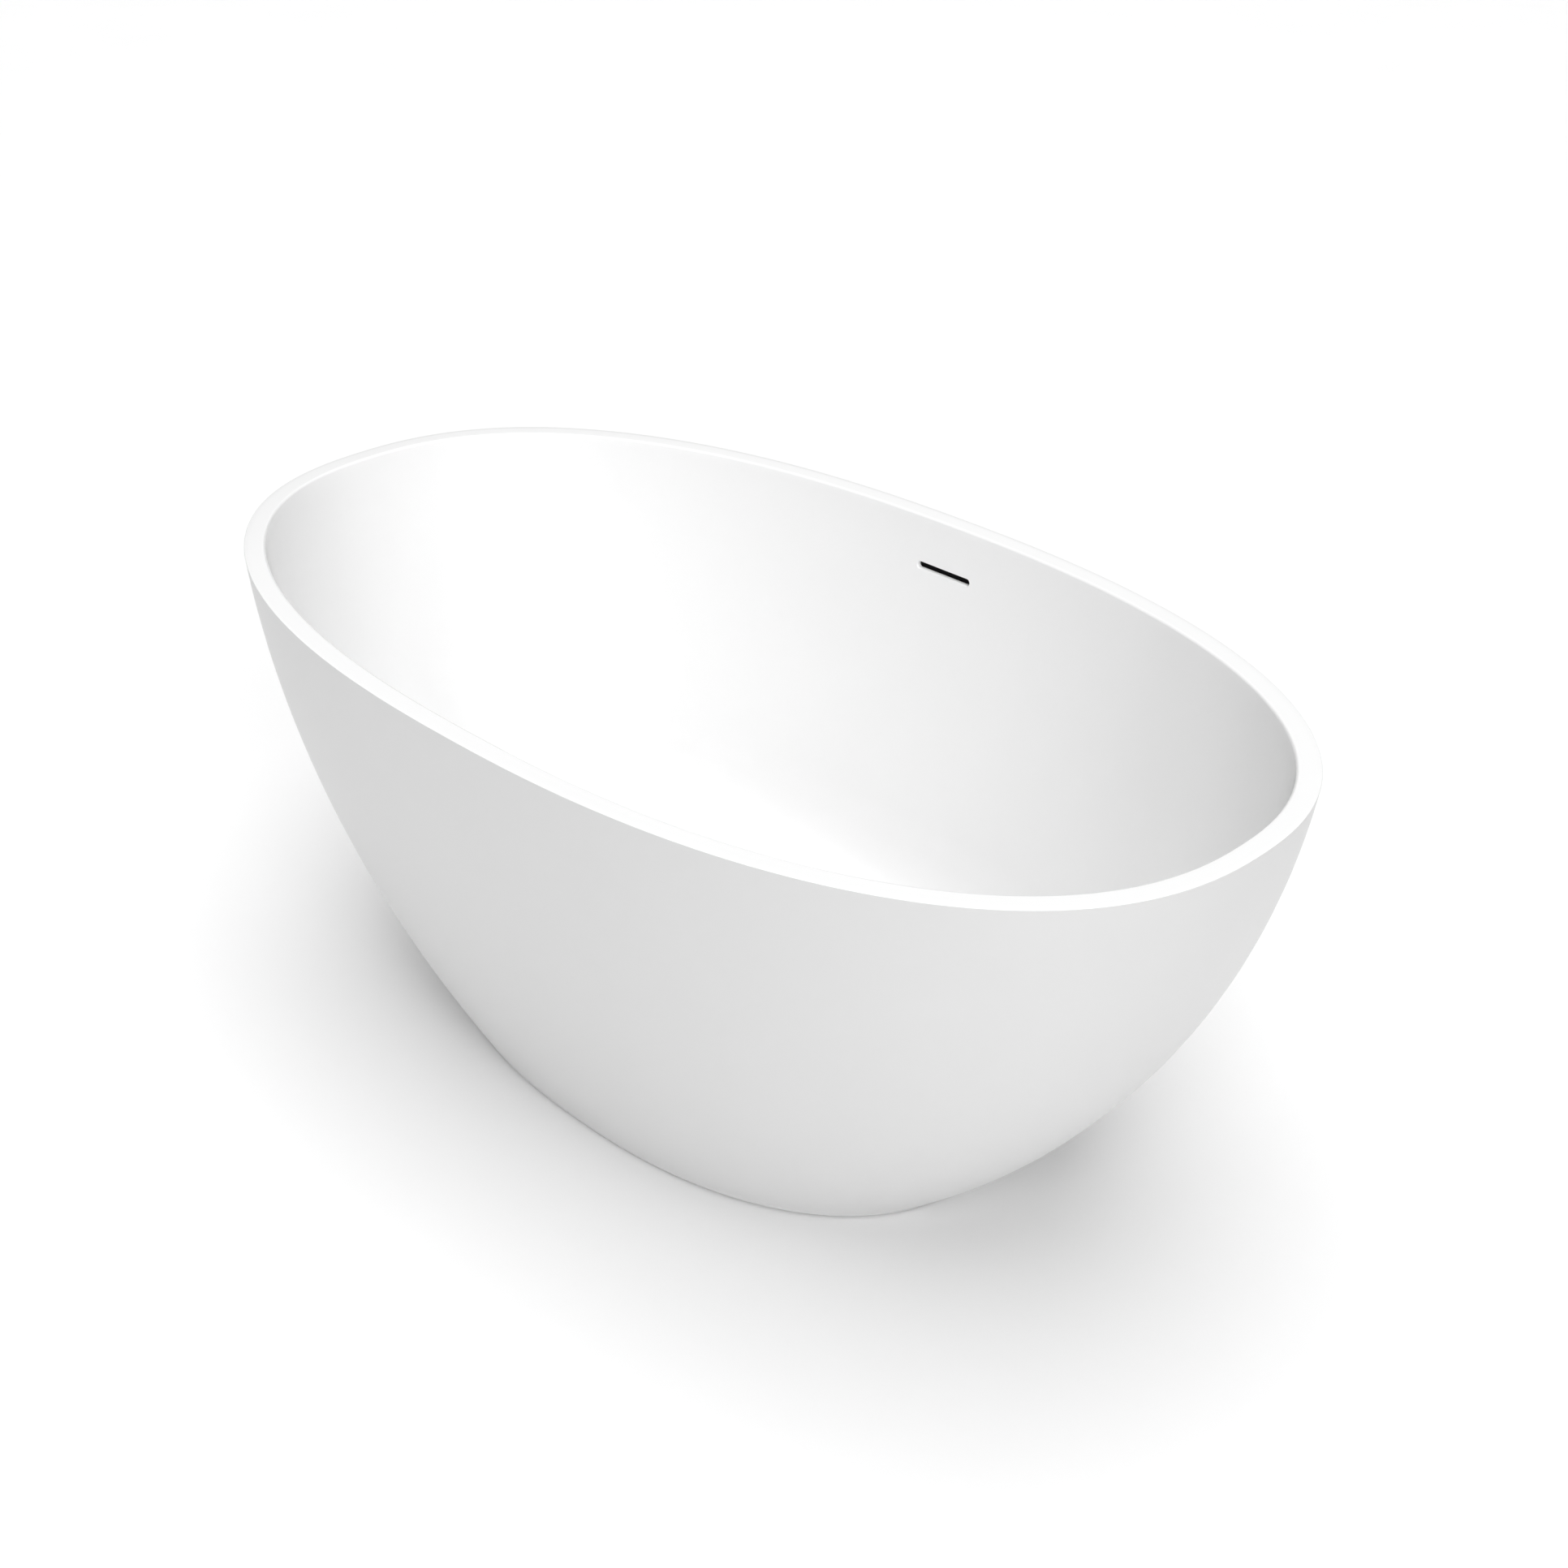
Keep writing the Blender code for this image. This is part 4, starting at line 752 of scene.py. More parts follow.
washer("plug_ring", "plug_seal", "plug", RUBBER_FINISH, PLUG_SEAL_BORE, edge=0.0007)
low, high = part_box("plug_stem")
barrel_low, barrel_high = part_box("plug_cartridge")
piston_top = barrel_high.z - PISTON_BELOW_BARREL_TOP
piston_foot = piston_top - PISTON_HEIGHT
stem = turned("plug_rod", [
    (STEM_RADIUS, high.z), (STEM_RADIUS, piston_top), (high.x, piston_top), (high.x, piston_foot),
    (STEM_RADIUS, piston_foot), (STEM_RADIUS, low.z),
], CHROME_FINISH, ring=False, edge=0.0002)
place_piece(stem, "plug", "plug_stem")
BARREL_BORE = 0.0065
BARREL_MOUTH = 0.0034
BARREL_FLOOR = 0.002
BARREL_CAP = 0.003
barrel = turned("latch_barrel", [
    (ON_AXIS, barrel_low.z + BARREL_FLOOR), (BARREL_BORE, barrel_low.z + BARREL_FLOOR),
    (BARREL_BORE, barrel_high.z - BARREL_CAP), (BARREL_MOUTH, barrel_high.z - BARREL_CAP),
    (BARREL_MOUTH, barrel_high.z), (barrel_high.x, barrel_high.z), (barrel_high.x, barrel_low.z),
], WHITE_FINISH, ring=False)
place_piece(barrel, "bath", "plug_cartridge")
print("plug:", [piece.name for piece in (plug_cap, stem, barrel)])

# %% [markdown]
# The flange goes down through the floor and screws into the body below it. Across its throat is a spider
# that carries the plug's barrel. The spider could be modelled as one flat star, but a boss and four spokes
# joined to the throat give it the depth that is seen when the plug is up.

# %% The waste flange with its spider
THROAT = 0.0235
THROAT_BORE = 0.0205
FLANGE_THICKNESS = 0.003
BOSS = 0.012
BOSS_HEIGHT = 0.012
SPOKE_WIDTH = 0.003
SPOKE_HEIGHT = 0.007
LEAD_IN = 0.002
BARREL_GAP = 0.0003
FLANGE_SEAL_BORE = 0.027
GASKET_BORE = 0.025
low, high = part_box("waste_flange")
flange_foot = high.z - FLANGE_THICKNESS
flange = turned("waste_ring", [
    (high.x, high.z), (high.x, flange_foot), (THROAT, flange_foot), (THROAT, low.z), (THROAT_BORE, low.z),
    (THROAT_BORE, high.z - LEAD_IN), (THROAT_BORE + LEAD_IN, high.z),
], CHROME_FINISH, edge=0.0006)
boss_bore = barrel_high.x + BARREL_GAP
boss = turned("boss", [
    (BOSS, flange_foot), (BOSS, flange_foot - BOSS_HEIGHT),
    (boss_bore, flange_foot - BOSS_HEIGHT), (boss_bore, flange_foot),
], CHROME_FINISH, edge=0.0004)
spoke_z = flange_foot - BOSS_HEIGHT / 2
spoke_low = (BOSS - OVERLAP, -SPOKE_WIDTH / 2, spoke_z - SPOKE_HEIGHT / 2)
spoke_high = (THROAT_BORE + OVERLAP, SPOKE_WIDTH / 2, spoke_z + SPOKE_HEIGHT / 2)
for quarter in range(4):
    spoke = block("spoke", spoke_low, spoke_high)
    combine(boss, moved(spoke, (0, 0, 0), (0, 0, math.radians(90 * quarter))), "UNION")
combine(flange, boss, "UNION")
dress(flange, CHROME_FINISH)
place_piece(flange, "bath", "waste_flange")
washer("flange_ring", "waste_flange_seal", "bath", RUBBER_FINISH, FLANGE_SEAL_BORE)
washer("floor_ring", "waste_body_gasket", "bath", RUBBER_FINISH, GASKET_BORE)
print("waste flange:", len(flange.data.polygons), "faces")

# %% [markdown]
# The body is a moulded cup. Real ones have thin gussets under the flange, which keep the moulding stiff, and
# a barbed spigot at the side for the overflow's hose.

# %% The waste body
CUP = 0.030
CUP_WALL = 0.0035
CUP_FLANGE_THICKNESS = 0.007
THREAD_GAP = 0.0003
GUSSETS = 8
GUSSET_HALF_WIDTH = 0.001
GUSSET_DEPTH = 0.026
GUSSET_SET_IN = 0.004
COLLAR_DEPTH = 0.022
OUTLET = 0.0225
OUTLET_BORE = 0.019
OUTLET_LENGTH = 0.016
SPIGOT = 0.0070
SPIGOT_BORE = 0.0054
SPIGOT_REACH = 0.022
BARBS = 4
BARB_ROOT = SPIGOT - 0.0004
BARB_CREST = SPIGOT + 0.0003
BARB_LENGTH = 0.0035
FIRST_BARB = 0.004
LAST_BARB = 0.005
BORE_SET_IN = 0.006
INLET_ABOVE_CUP = 0.020
low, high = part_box("waste_body")
cup_radius = high.x
cup_foot = low.z + OUTLET_LENGTH
inlet_z = cup_foot + INLET_ABOVE_CUP
chamber = CUP - CUP_WALL
flange_foot, collar_foot = high.z - CUP_FLANGE_THICKNESS, high.z - COLLAR_DEPTH
cup_bore = THROAT + THREAD_GAP
cup = turned("waste_cup", [
    (cup_radius, high.z), (cup_radius, flange_foot), (CUP, flange_foot), (CUP, cup_foot), (OUTLET, cup_foot),
    (OUTLET, low.z), (OUTLET_BORE, low.z), (OUTLET_BORE, cup_foot + CUP_WALL), (chamber, cup_foot + CUP_WALL),
    (chamber, collar_foot), (cup_bore, collar_foot), (cup_bore, high.z),
], BLACK_FINISH, edge=0.0005)
gusset_low = (CUP - OVERLAP, -GUSSET_HALF_WIDTH, high.z - GUSSET_DEPTH)
gusset_high = (cup_radius - GUSSET_SET_IN, GUSSET_HALF_WIDTH, flange_foot + OVERLAP)
for index in range(GUSSETS):
    turn = math.radians(360 / GUSSETS * (index + 0.5))
    combine(cup, moved(block("gusset", gusset_low, gusset_high), (0, 0, 0), (0, 0, turn)), "UNION")
barbs = [(BARB_ROOT, chamber + CUP_WALL / 2)]
for start in spread(CUP + FIRST_BARB, CUP + SPIGOT_REACH - LAST_BARB, BARBS):
    barbs += [(BARB_ROOT, start), (BARB_CREST, start + 0.0002), (BARB_ROOT, start + BARB_LENGTH)]
barbs.append((BARB_ROOT - 0.0004, CUP + SPIGOT_REACH))
spigot = turned("spigot", barbs, BLACK_FINISH, ring=False, edge=0)
combine(cup, moved(spigot, (0, 0, inlet_z), (-math.pi / 2, 0, 0)), "UNION")
bore_start, bore_end = chamber - BORE_SET_IN, CUP + SPIGOT_REACH + THROUGH
combine(cup, rod("bore", SPIGOT_BORE, (0, bore_start, inlet_z), (0, bore_end, inlet_z)))
dress(cup, BLACK_FINISH)
place_piece(cup, "bath", "waste_body")
print("waste body:", len(cup.data.polygons), "faces, open edges:", open_edges(cup))

# %% [markdown]
# The tail pipe slides up into the outlet, and a nut clamps it there against a washer. The nut's grip could be
# made of small blocks joined to it, but raising every second strip of its own wall is cleaner.

# %% The tail pipe and its nut
TAIL = 0.0175
TAIL_BORE = 0.016
TAIL_COLLAR = 0.002
washer("outlet_ring", "outlet_washer", "bath", RUBBER_FINISH, OUTLET_BORE)
low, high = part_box("tail_pipe")
tail = turned("tail_tube", [
    (high.x, high.z), (high.x, high.z - TAIL_COLLAR), (TAIL, high.z - TAIL_COLLAR), (TAIL, low.z),
    (TAIL_BORE, low.z), (TAIL_BORE, high.z),
], CHROME_FINISH)
place_piece(tail, "bath", "tail_pipe")
NUT_LIP = 0.003
NUT_RIBS = 16
NUT_RIB_HEIGHT = 0.0014
NUT_PLAIN_END = 0.003
low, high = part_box("coupling_nut")
nut_body = high.x - NUT_RIB_HEIGHT
rib_foot, rib_top = low.z + NUT_PLAIN_END, high.z - NUT_PLAIN_END
nut_foot_bore, nut_bore = TAIL + THREAD_GAP, OUTLET + THREAD_GAP
nut = turned("grip_nut", [
    (nut_body, high.z), (nut_body, rib_top), (nut_body, rib_foot), (nut_body, low.z),
    (nut_foot_bore, low.z), (nut_foot_bore, low.z + NUT_LIP), (nut_bore, low.z + NUT_LIP), (nut_bore, high.z),
], BLACK_FINISH, edge=0)
raise_ribs(nut, NUT_RIBS, 0.5, rib_foot, rib_top, NUT_RIB_HEIGHT)
shaped(nut, "BEVEL", width=0.0003, segments=2, limit_method="ANGLE", angle_limit=SHARP_ANGLE)
dress(nut, BLACK_FINISH)
place_piece(nut, "bath", "coupling_nut")
print("tail pipe and nut:", len(tail.data.polygons) + len(nut.data.polygons), "faces")

# %% [markdown]
# ## The overflow
#
# Water that reaches the slot falls into a flat duct behind it. The duct is lofted through ovals that go from
# a wide flat one to a round spigot, and it keeps to the narrow space between the two skins all the way.

# %% The overflow duct
DUCT_WALL = 0.0016
DUCT_CLEARANCE = 0.0015
DUCT_POINTS = 64
SHOULDER_BELOW_SLOT = 0.020
DUCT_TAPER = 0.205
MOUTH_MARGIN = 0.003
MOUTH_DEPTH = 0.014
MOUTH_FORWARD = 0.002
FLAT_OVAL = 6.0
WAIST_OVAL = 4.0
ROUND = 2.0
SAME_HEIGHT = 0.0001
GASKET = 0.0009
duct_low, duct_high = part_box("overflow_duct")
shoulder_z = SLOT_Z - SHOULDER_BELOW_SLOT
neck_z = shoulder_z - DUCT_TAPER
wide = duct_high.x
waist = (wide + SPIGOT) / 2


def between_skins(z):
    """Middle and half depth of the room between the basin and the skirt at a height."""
    front = inside(z, WALL)[1] + DUCT_CLEARANCE + GASKET
    back = outside(z, WALL)[1] - DUCT_CLEARANCE
    return (front + back) / 2, (back - front) / 2


def duct_station(z, half_x, power):
    """One section of the duct: its half sizes and height, how full its oval is, and where its middle lies."""
    middle, half_y = between_skins(z)
    return Vector((half_x, half_y, z)), power, middle


spigot_y = between_skins(neck_z - SPIGOT_REACH / 2)[0]
stations = [
    duct_station(duct_high.z, wide, FLAT_OVAL),
    duct_station(shoulder_z, wide, FLAT_OVAL),
    duct_station((shoulder_z + neck_z) / 2, waist, WAIST_OVAL),
    (Vector((SPIGOT, SPIGOT, neck_z)), ROUND, spigot_y),
    (Vector((SPIGOT, SPIGOT, duct_low.z)), ROUND, spigot_y),
]
duct = start_piece("overflow_channel")
add_ring(*stations[0][0], DUCT_POINTS, stations[0][1], (0.0, stations[0][2]))
last_z = stations[0][0].z
for (size, power, middle), (next_size, next_power, next_middle) in zip(stations, stations[1:]):
    for share in spread(0, 1, 7)[1:]:
        here = size.lerp(next_size, share)
        fullness = power + (next_power - power) * share
        add_ring(*here, DUCT_POINTS, fullness, (0.0, middle + (next_middle - middle) * share))
        select_open_edges(lambda place: here.z - SAME_HEIGHT < place.z < last_z + SAME_HEIGHT)
        bpy.ops.mesh.bridge_edge_loops()
        last_z = here.z
select_open_edges(lambda place: place.z > duct_high.z - SLACK)
bpy.ops.mesh.fill_holes(sides=0)
finish_piece(duct, BLACK_FINISH)
shaped(duct, "BEVEL", width=0.0010, segments=3, limit_method="ANGLE", angle_limit=math.radians(60))
shaped(duct, "SOLIDIFY", thickness=DUCT_WALL, offset=-1, use_even_offset=True)
front_y = between_skins(SLOT_Z)[0] - between_skins(SLOT_Z)[1]
mouth_middle = (0, front_y - MOUTH_FORWARD, SLOT_Z)
mouth = round_bar(
    "mouth", SLOT_LENGTH + 2 * MOUTH_MARGIN, SLOT_HEIGHT + 2 * MOUTH_MARGIN, mouth_middle, MOUTH_DEPTH
)
combine(duct, mouth)
dress(duct, BLACK_FINISH)
place_piece(duct, "bath", "overflow_duct")
print("duct:", len(duct.data.polygons), "faces, open edges:", open_edges(duct))

# %% [markdown]
# The hose is corrugated, so that it bends without kinking. It could be an array of rings, but a curve whose
# radius swells at every third point gives the same ribs and follows any route.

# %% The overflow hose
HOSE = 0.0095
HOSE_WALL = 0.0016
RIB_SPACING = 0.0011
RIB_DEPTH = 0.12
PLAIN_END = 0.026
HOSE_DROPS = (0.3, 0.5, 0.7)
HOSE_TURN = ((0.020, 0.0676), (0.075, 0.012), (0.150, 0.0))


def smooth_route(knots, spacing):
    """Points along a smooth curve through the knots (cubic Hermite)."""
    ends = [2 * knots[0] - knots[1], *knots, 2 * knots[-1] - knots[-2]]
    route = []
    for before, start, end, after in zip(ends, ends[1:], ends[2:], ends[3:]):
        chord = end - start
        towards = chord.normalized()
        leave = ((start - before).normalized() + towards).normalized() * chord.length
        arrive = (towards + (after - end).normalized()).normalized() * chord.length
        steps = max(1, round(chord.length / spacing))
        for step in range(steps):
            t = step / steps
            route.append(
                start * (2 * t**3 - 3 * t**2 + 1) + leave * (t**3 - 2 * t**2 + t)
                + end * (3 * t**2 - 2 * t**3) + arrive * (t**3 - t**2)
            )
    return [*route, knots[-1]]


ALONG_SPIGOT = (0.003, SPIGOT_REACH / 2, SPIGOT_REACH, SPIGOT_REACH + 0.003)
knots = [Vector((0, spigot_y, neck_z - below)) for below in ALONG_SPIGOT]
for share in HOSE_DROPS:
    below = share * (neck_z - HOSE_TURN[0][1] - inlet_z)
    knots.append(Vector((0, between_skins(neck_z - below)[0], neck_z - below)))
turn_y = knots[-1].y
knots.extend(Vector((0, turn_y - inwards, inlet_z + above)) for inwards, above in HOSE_TURN)
knots.extend(Vector((0, CUP + out, inlet_z)) for out in reversed(ALONG_SPIGOT))
route = smooth_route(knots, RIB_SPACING)
bpy.ops.object.select_all(action="DESELECT")
bpy.ops.curve.primitive_nurbs_path_add()
hose = bpy.context.object
hose.name = "ribbed_hose"
hose.data.splines.clear()
line = hose.data.splines.new("POLY")
line.points.add(len(route) - 1)
for index, (point, place) in enumerate(zip(line.points, route)):
    point.co = (*place, 1)
    from_end = min((place - route[0]).length, (place - route[-1]).length)
    point.radius = 1.0 if index % 3 == 0 or from_end < PLAIN_END else 1.0 - RIB_DEPTH
hose.data.bevel_depth = HOSE
hose.data.bevel_resolution = 8
hose.data.use_fill_caps = False
bpy.ops.object.convert(target="MESH")
shaped(hose, "SOLIDIFY", thickness=HOSE_WALL, offset=-1)
dress(hose, HOSE_FINISH, smooth=50)
place_piece(hose, "bath", "overflow_hose")
print("hose:", len(route), "points,", len(hose.data.polygons), "faces")

# %% [markdown]
# A worm-drive clip is a thin steel band with teeth, a small housing and a screw that pulls the band tight.
# The teeth could be painted on, but they stand out against the light at the band's edge, so they are raised.

# %% The hose's clips
CLIP_INNER = HOSE + 0.0006
CLIP_BAND = 0.0012
CLIP_HALF = 0.0045
CLIP_TEETH = 48
TOOTH_HEIGHT = 0.0002
TOOTHED_SHARE = 0.6
HOUSING = (0.004, 0.012, CLIP_HALF * 1.6)
HEAD_RADIUS = 0.0026
HEAD_START = 0.0055
HEAD_END = 0.0085
SLIT = (0.006, 0.0014, 0.0008)


def hose_clip(name, node, place, turn):
    """A toothed steel band with a worm housing and a hexagonal screw."""
    outer = CLIP_INNER + CLIP_BAND
    strip, toothed = outer - TOOTH_HEIGHT, CLIP_HALF * TOOTHED_SHARE
    band = turned(name, [
        (strip, CLIP_HALF), (strip, toothed), (strip, -toothed), (strip, -CLIP_HALF),
        (CLIP_INNER, -CLIP_HALF), (CLIP_INNER, CLIP_HALF),
    ], BRIGHT_FINISH, edge=0, points=192)
    raise_ribs(band, CLIP_TEETH, 0.5, -toothed, toothed, TOOTH_HEIGHT)
    middle_x = -outer - CLIP_BAND
    housing = block("housing", *corners_of((middle_x, 0, 0), HOUSING), edge=0.0009)
    combine(band, housing, "UNION")
    head_x = middle_x - 0.0002
    head = rod("head", HEAD_RADIUS, (head_x, HEAD_START, 0), (head_x, HEAD_END, 0), sides=6)
    combine(band, head, "UNION")
    combine(band, block("slit", *corners_of((middle_x, HEAD_END, 0), SLIT)))
    moved(band, place, turn)
    dress(band, BRIGHT_FINISH)
    return place_piece(band, "bath", node)


hose_clip("clip_high", "hose_clip_top", (0, spigot_y, neck_z - SPIGOT_REACH / 2), (0, 0, 0))
hose_clip("clip_low", "hose_clip_bottom", (0, CUP + SPIGOT_REACH / 2, inlet_z), (math.pi / 2, 0, 0))
print("clips: 2")

# %% [markdown]
# ## The cradle
#
# A board is bonded under the floor and rests on two rails, which are welded to two cross bars. Drawn square
# tube is never sharp: its corners have a radius of about one and a half times its wall, and that soft corner
# is what makes a tube read as a tube.

# %% The floor board
BOARD_POWER = 4.0
BOARD_HOLE = 0.055
BOARD_EDGE = 0.0015
board_low, board_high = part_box("floor_board")
half_x, half_y = board_high.x, board_high.y
board = start_piece("bonded_board")
add_ring(half_x - BOARD_EDGE, half_y - BOARD_EDGE, board_low.z, OVAL_POINTS, BOARD_POWER)
walk([
    (half_x, half_y, board_low.z + BOARD_EDGE), (half_x, half_y, board_high.z - BOARD_EDGE),
    (half_x - BOARD_EDGE, half_y - BOARD_EDGE, board_high.z),
])
select_open_edges()
bpy.ops.mesh.fill_holes(sides=0)
finish_piece(board, BOARD_FINISH)
hole_foot, hole_top = (0, 0, board_low.z - THROUGH), (0, 0, board_high.z + THROUGH)
combine(board, rod("hole", BOARD_HOLE, hole_foot, hole_top, sides=96))
dress(board, BOARD_FINISH)
place_piece(board, "bath", "floor_board")
print("board:", len(board.data.polygons), "faces, open edges:", open_edges(board))

# %% [markdown]
# A tube could be a block with a smaller block cut out of it. Here the block's lengthwise edges are bevelled,
# its ends are opened, and the skin that is left is given the wall's thickness, so the bore's corners are
# round too. A plastic cap closes each end of a rail, and the studs' holes are drilled last.

# %% Rails, caps and cross bars
TUBE_WALL = 0.0015
TUBE_CORNER = 0.0026
CAP_FLANGE = 0.002
CAP_GRIP = 0.0004
CAP_OVERLAP = 0.0002


def square_tube(name, node, along):
    """An open-ended tube of a node's size with rounded corners."""
    low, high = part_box(node)
    tube = block(name, low, high)
    pick(tube)
    bpy.ops.object.mode_set(mode="EDIT")
    bpy.ops.mesh.select_mode(type="EDGE")
    bpy.ops.mesh.select_all(action="DESELECT")
    mesh = bmesh.from_edit_mesh(tube.data)
    for edge in mesh.edges:
        run = edge.verts[1].co - edge.verts[0].co
        if abs(run[along]) > NEARLY * (high - low)[along]:
            edge.select_set(True)
    bmesh.update_edit_mesh(tube.data)
    bpy.ops.mesh.bevel(offset=TUBE_CORNER, segments=6)
    bpy.ops.mesh.select_mode(type="FACE")
    bpy.ops.mesh.select_all(action="DESELECT")
    mesh = bmesh.from_edit_mesh(tube.data)
    for face in mesh.faces:
        if abs(face.normal[along]) > NEARLY:
            face.select_set(True)
    bmesh.update_edit_mesh(tube.data)
    bpy.ops.mesh.delete(type="FACE")
    bpy.ops.object.mode_set(mode="OBJECT")
    shaped(tube, "SOLIDIFY", thickness=TUBE_WALL, offset=-1, use_even_offset=True)
    return tube


def rail_cap(name, node):
    """A domed plastic plug for a rail's end, with a ribbed part inside the tube."""
    low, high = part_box(node)
    way = math.copysign(1, low.x + high.x)
    face_x = high.x if way > 0 else low.x
    tail_x = low.x if way > 0 else high.x
    seat_x = face_x - way * CAP_FLANGE
    cap = block(
        name, (min(seat_x, face_x), low.y, low.z), (max(seat_x, face_x), high.y, high.z), edge=0.0008
    )
    inset = TUBE_WALL + 2 * CAP_GRIP
    inner_low, inner_high = Vector((0, inset, inset)), Vector((0, -inset, -inset))
    body = block(
        "body", Vector((min(tail_x, seat_x), low.y, low.z)) + inner_low,
        Vector((max(tail_x, seat_x) + way * CAP_OVERLAP, high.y, high.z)) + inner_high, edge=0.0006,
    )
    combine(cap, body, "UNION")
    dress(cap, BLACK_FINISH)
    return place_piece(cap, "bath", node)


for side in ("front", "back"):
    rail = square_tube(f"rail_{side}", f"frame_rail_{side}", along=0)
    dress(rail, STEEL_FINISH)
    place_piece(rail, "bath", f"frame_rail_{side}")
    for end in ("left", "right"):
        rail_cap(f"end_cap_{side}_{end}", f"rail_cap_{side}_{end}")
STUD_CLEARANCE = 0.0064
for end in ("left", "right"):
    bar = square_tube(f"bar_{end}", f"cross_bar_{end}", along=1)
    bar_low, bar_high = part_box(f"cross_bar_{end}")
    for side in ("front", "back"):
        stud_low, stud_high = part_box(f"foot_stud_{end}_{side}")
        x, y = (stud_low.x + stud_high.x) / 2, (stud_low.y + stud_high.y) / 2
        hole_foot, hole_top = (x, y, bar_low.z - THROUGH), (x, y, bar_high.z + THROUGH)
        combine(bar, rod("hole", STUD_CLEARANCE, hole_foot, hole_top))
    dress(bar, STEEL_FINISH)
    place_piece(bar, "bath", f"cross_bar_{end}")
print("tubes: 4, caps: 4")

# %% [markdown]
# ## Feet
#
# Each foot is a rubber pad, a threaded stud with a hexagon near its foot, a nut welded under the cross bar
# and a lock nut above it. The thread is a true helix: a three-point ridge is swept by a Screw modifier that
# climbs one pitch a turn. The four corners are the same, so one loop makes them all.

# %% The four feet
THREAD = 0.006
THREAD_ROOT = 0.0053
PITCH = 0.00175
CREST = (0.4, 0.6)
RIDGE_START = 0.001
RIDGE_STOP = 0.0008
TRIM = 0.0001
HEX_FLAT = 0.0095
HEX_CORNER = 0.01097
CHAMFER = 0.0010
HEXAGON_HEIGHT = 0.008
PAD_EDGE = 0.003
PAD_RIBS = 24
PAD_RIB_HEIGHT = 0.0008
GROOVE = 0.001
TREAD = ((0.0170, 0), (0.0165, GROOVE), (0.0125, GROOVE), (0.0120, 0), (0.0080, 0), (0.0075, GROOVE))
CORE_CHAMFER = 0.0009


def hexagon(name, middle, low_z, high_z):
    """A hexagonal block whose corners are turned off at both ends."""
    x, y = middle
    block_six = rod(name, HEX_CORNER, (x, y, low_z), (x, y, high_z), sides=6)
    lens = turned("lens", [
        (HEX_FLAT - TRIM, high_z), (HEX_CORNER + 2 * TRIM, high_z - CHAMFER),
        (HEX_CORNER + 2 * TRIM, low_z + CHAMFER), (HEX_FLAT - TRIM, low_z),
    ], STEEL_FINISH, middle=middle, ring=False, edge=0, points=72)
    combine(block_six, lens, "INTERSECT")
    return block_six


def thread(name, middle, low_z, high_z):
    """A helical ridge between two heights."""
    bpy.ops.object.select_all(action="DESELECT")
    bpy.ops.mesh.primitive_plane_add(size=1, enter_editmode=True, location=(0, 0, 0))
    mesh = bmesh.from_edit_mesh(bpy.context.object.data)
    crest_start, crest_end = (PITCH * share for share in CREST)
    ridge = ((THREAD_ROOT, 0.0), (THREAD, crest_start), (THREAD, crest_end), (THREAD_ROOT, PITCH))
    for vert, (radius, height) in zip(mesh.verts, ridge):
        vert.co = (radius, 0, height)
    mesh.verts.ensure_lookup_table()
    for face in list(mesh.faces):
        mesh.faces.remove(face)
    for edge in list(mesh.edges):
        mesh.edges.remove(edge)
    for start, end in zip(mesh.verts[:-1], mesh.verts[1:]):
        mesh.edges.new((start, end))
    bmesh.update_edit_mesh(bpy.context.object.data)
    bpy.ops.object.mode_set(mode="OBJECT")
    helix = bpy.context.object
    helix.name = name
    shaped(
        helix, "SCREW", axis="Z", angle=2 * math.pi, screw_offset=PITCH, steps=32, render_steps=32,
        iterations=int((high_z - low_z) / PITCH) - 1, use_merge_vertices=True, merge_threshold=0.00001,
    )
    return moved(helix, (*middle, low_z), (0, 0, 0))


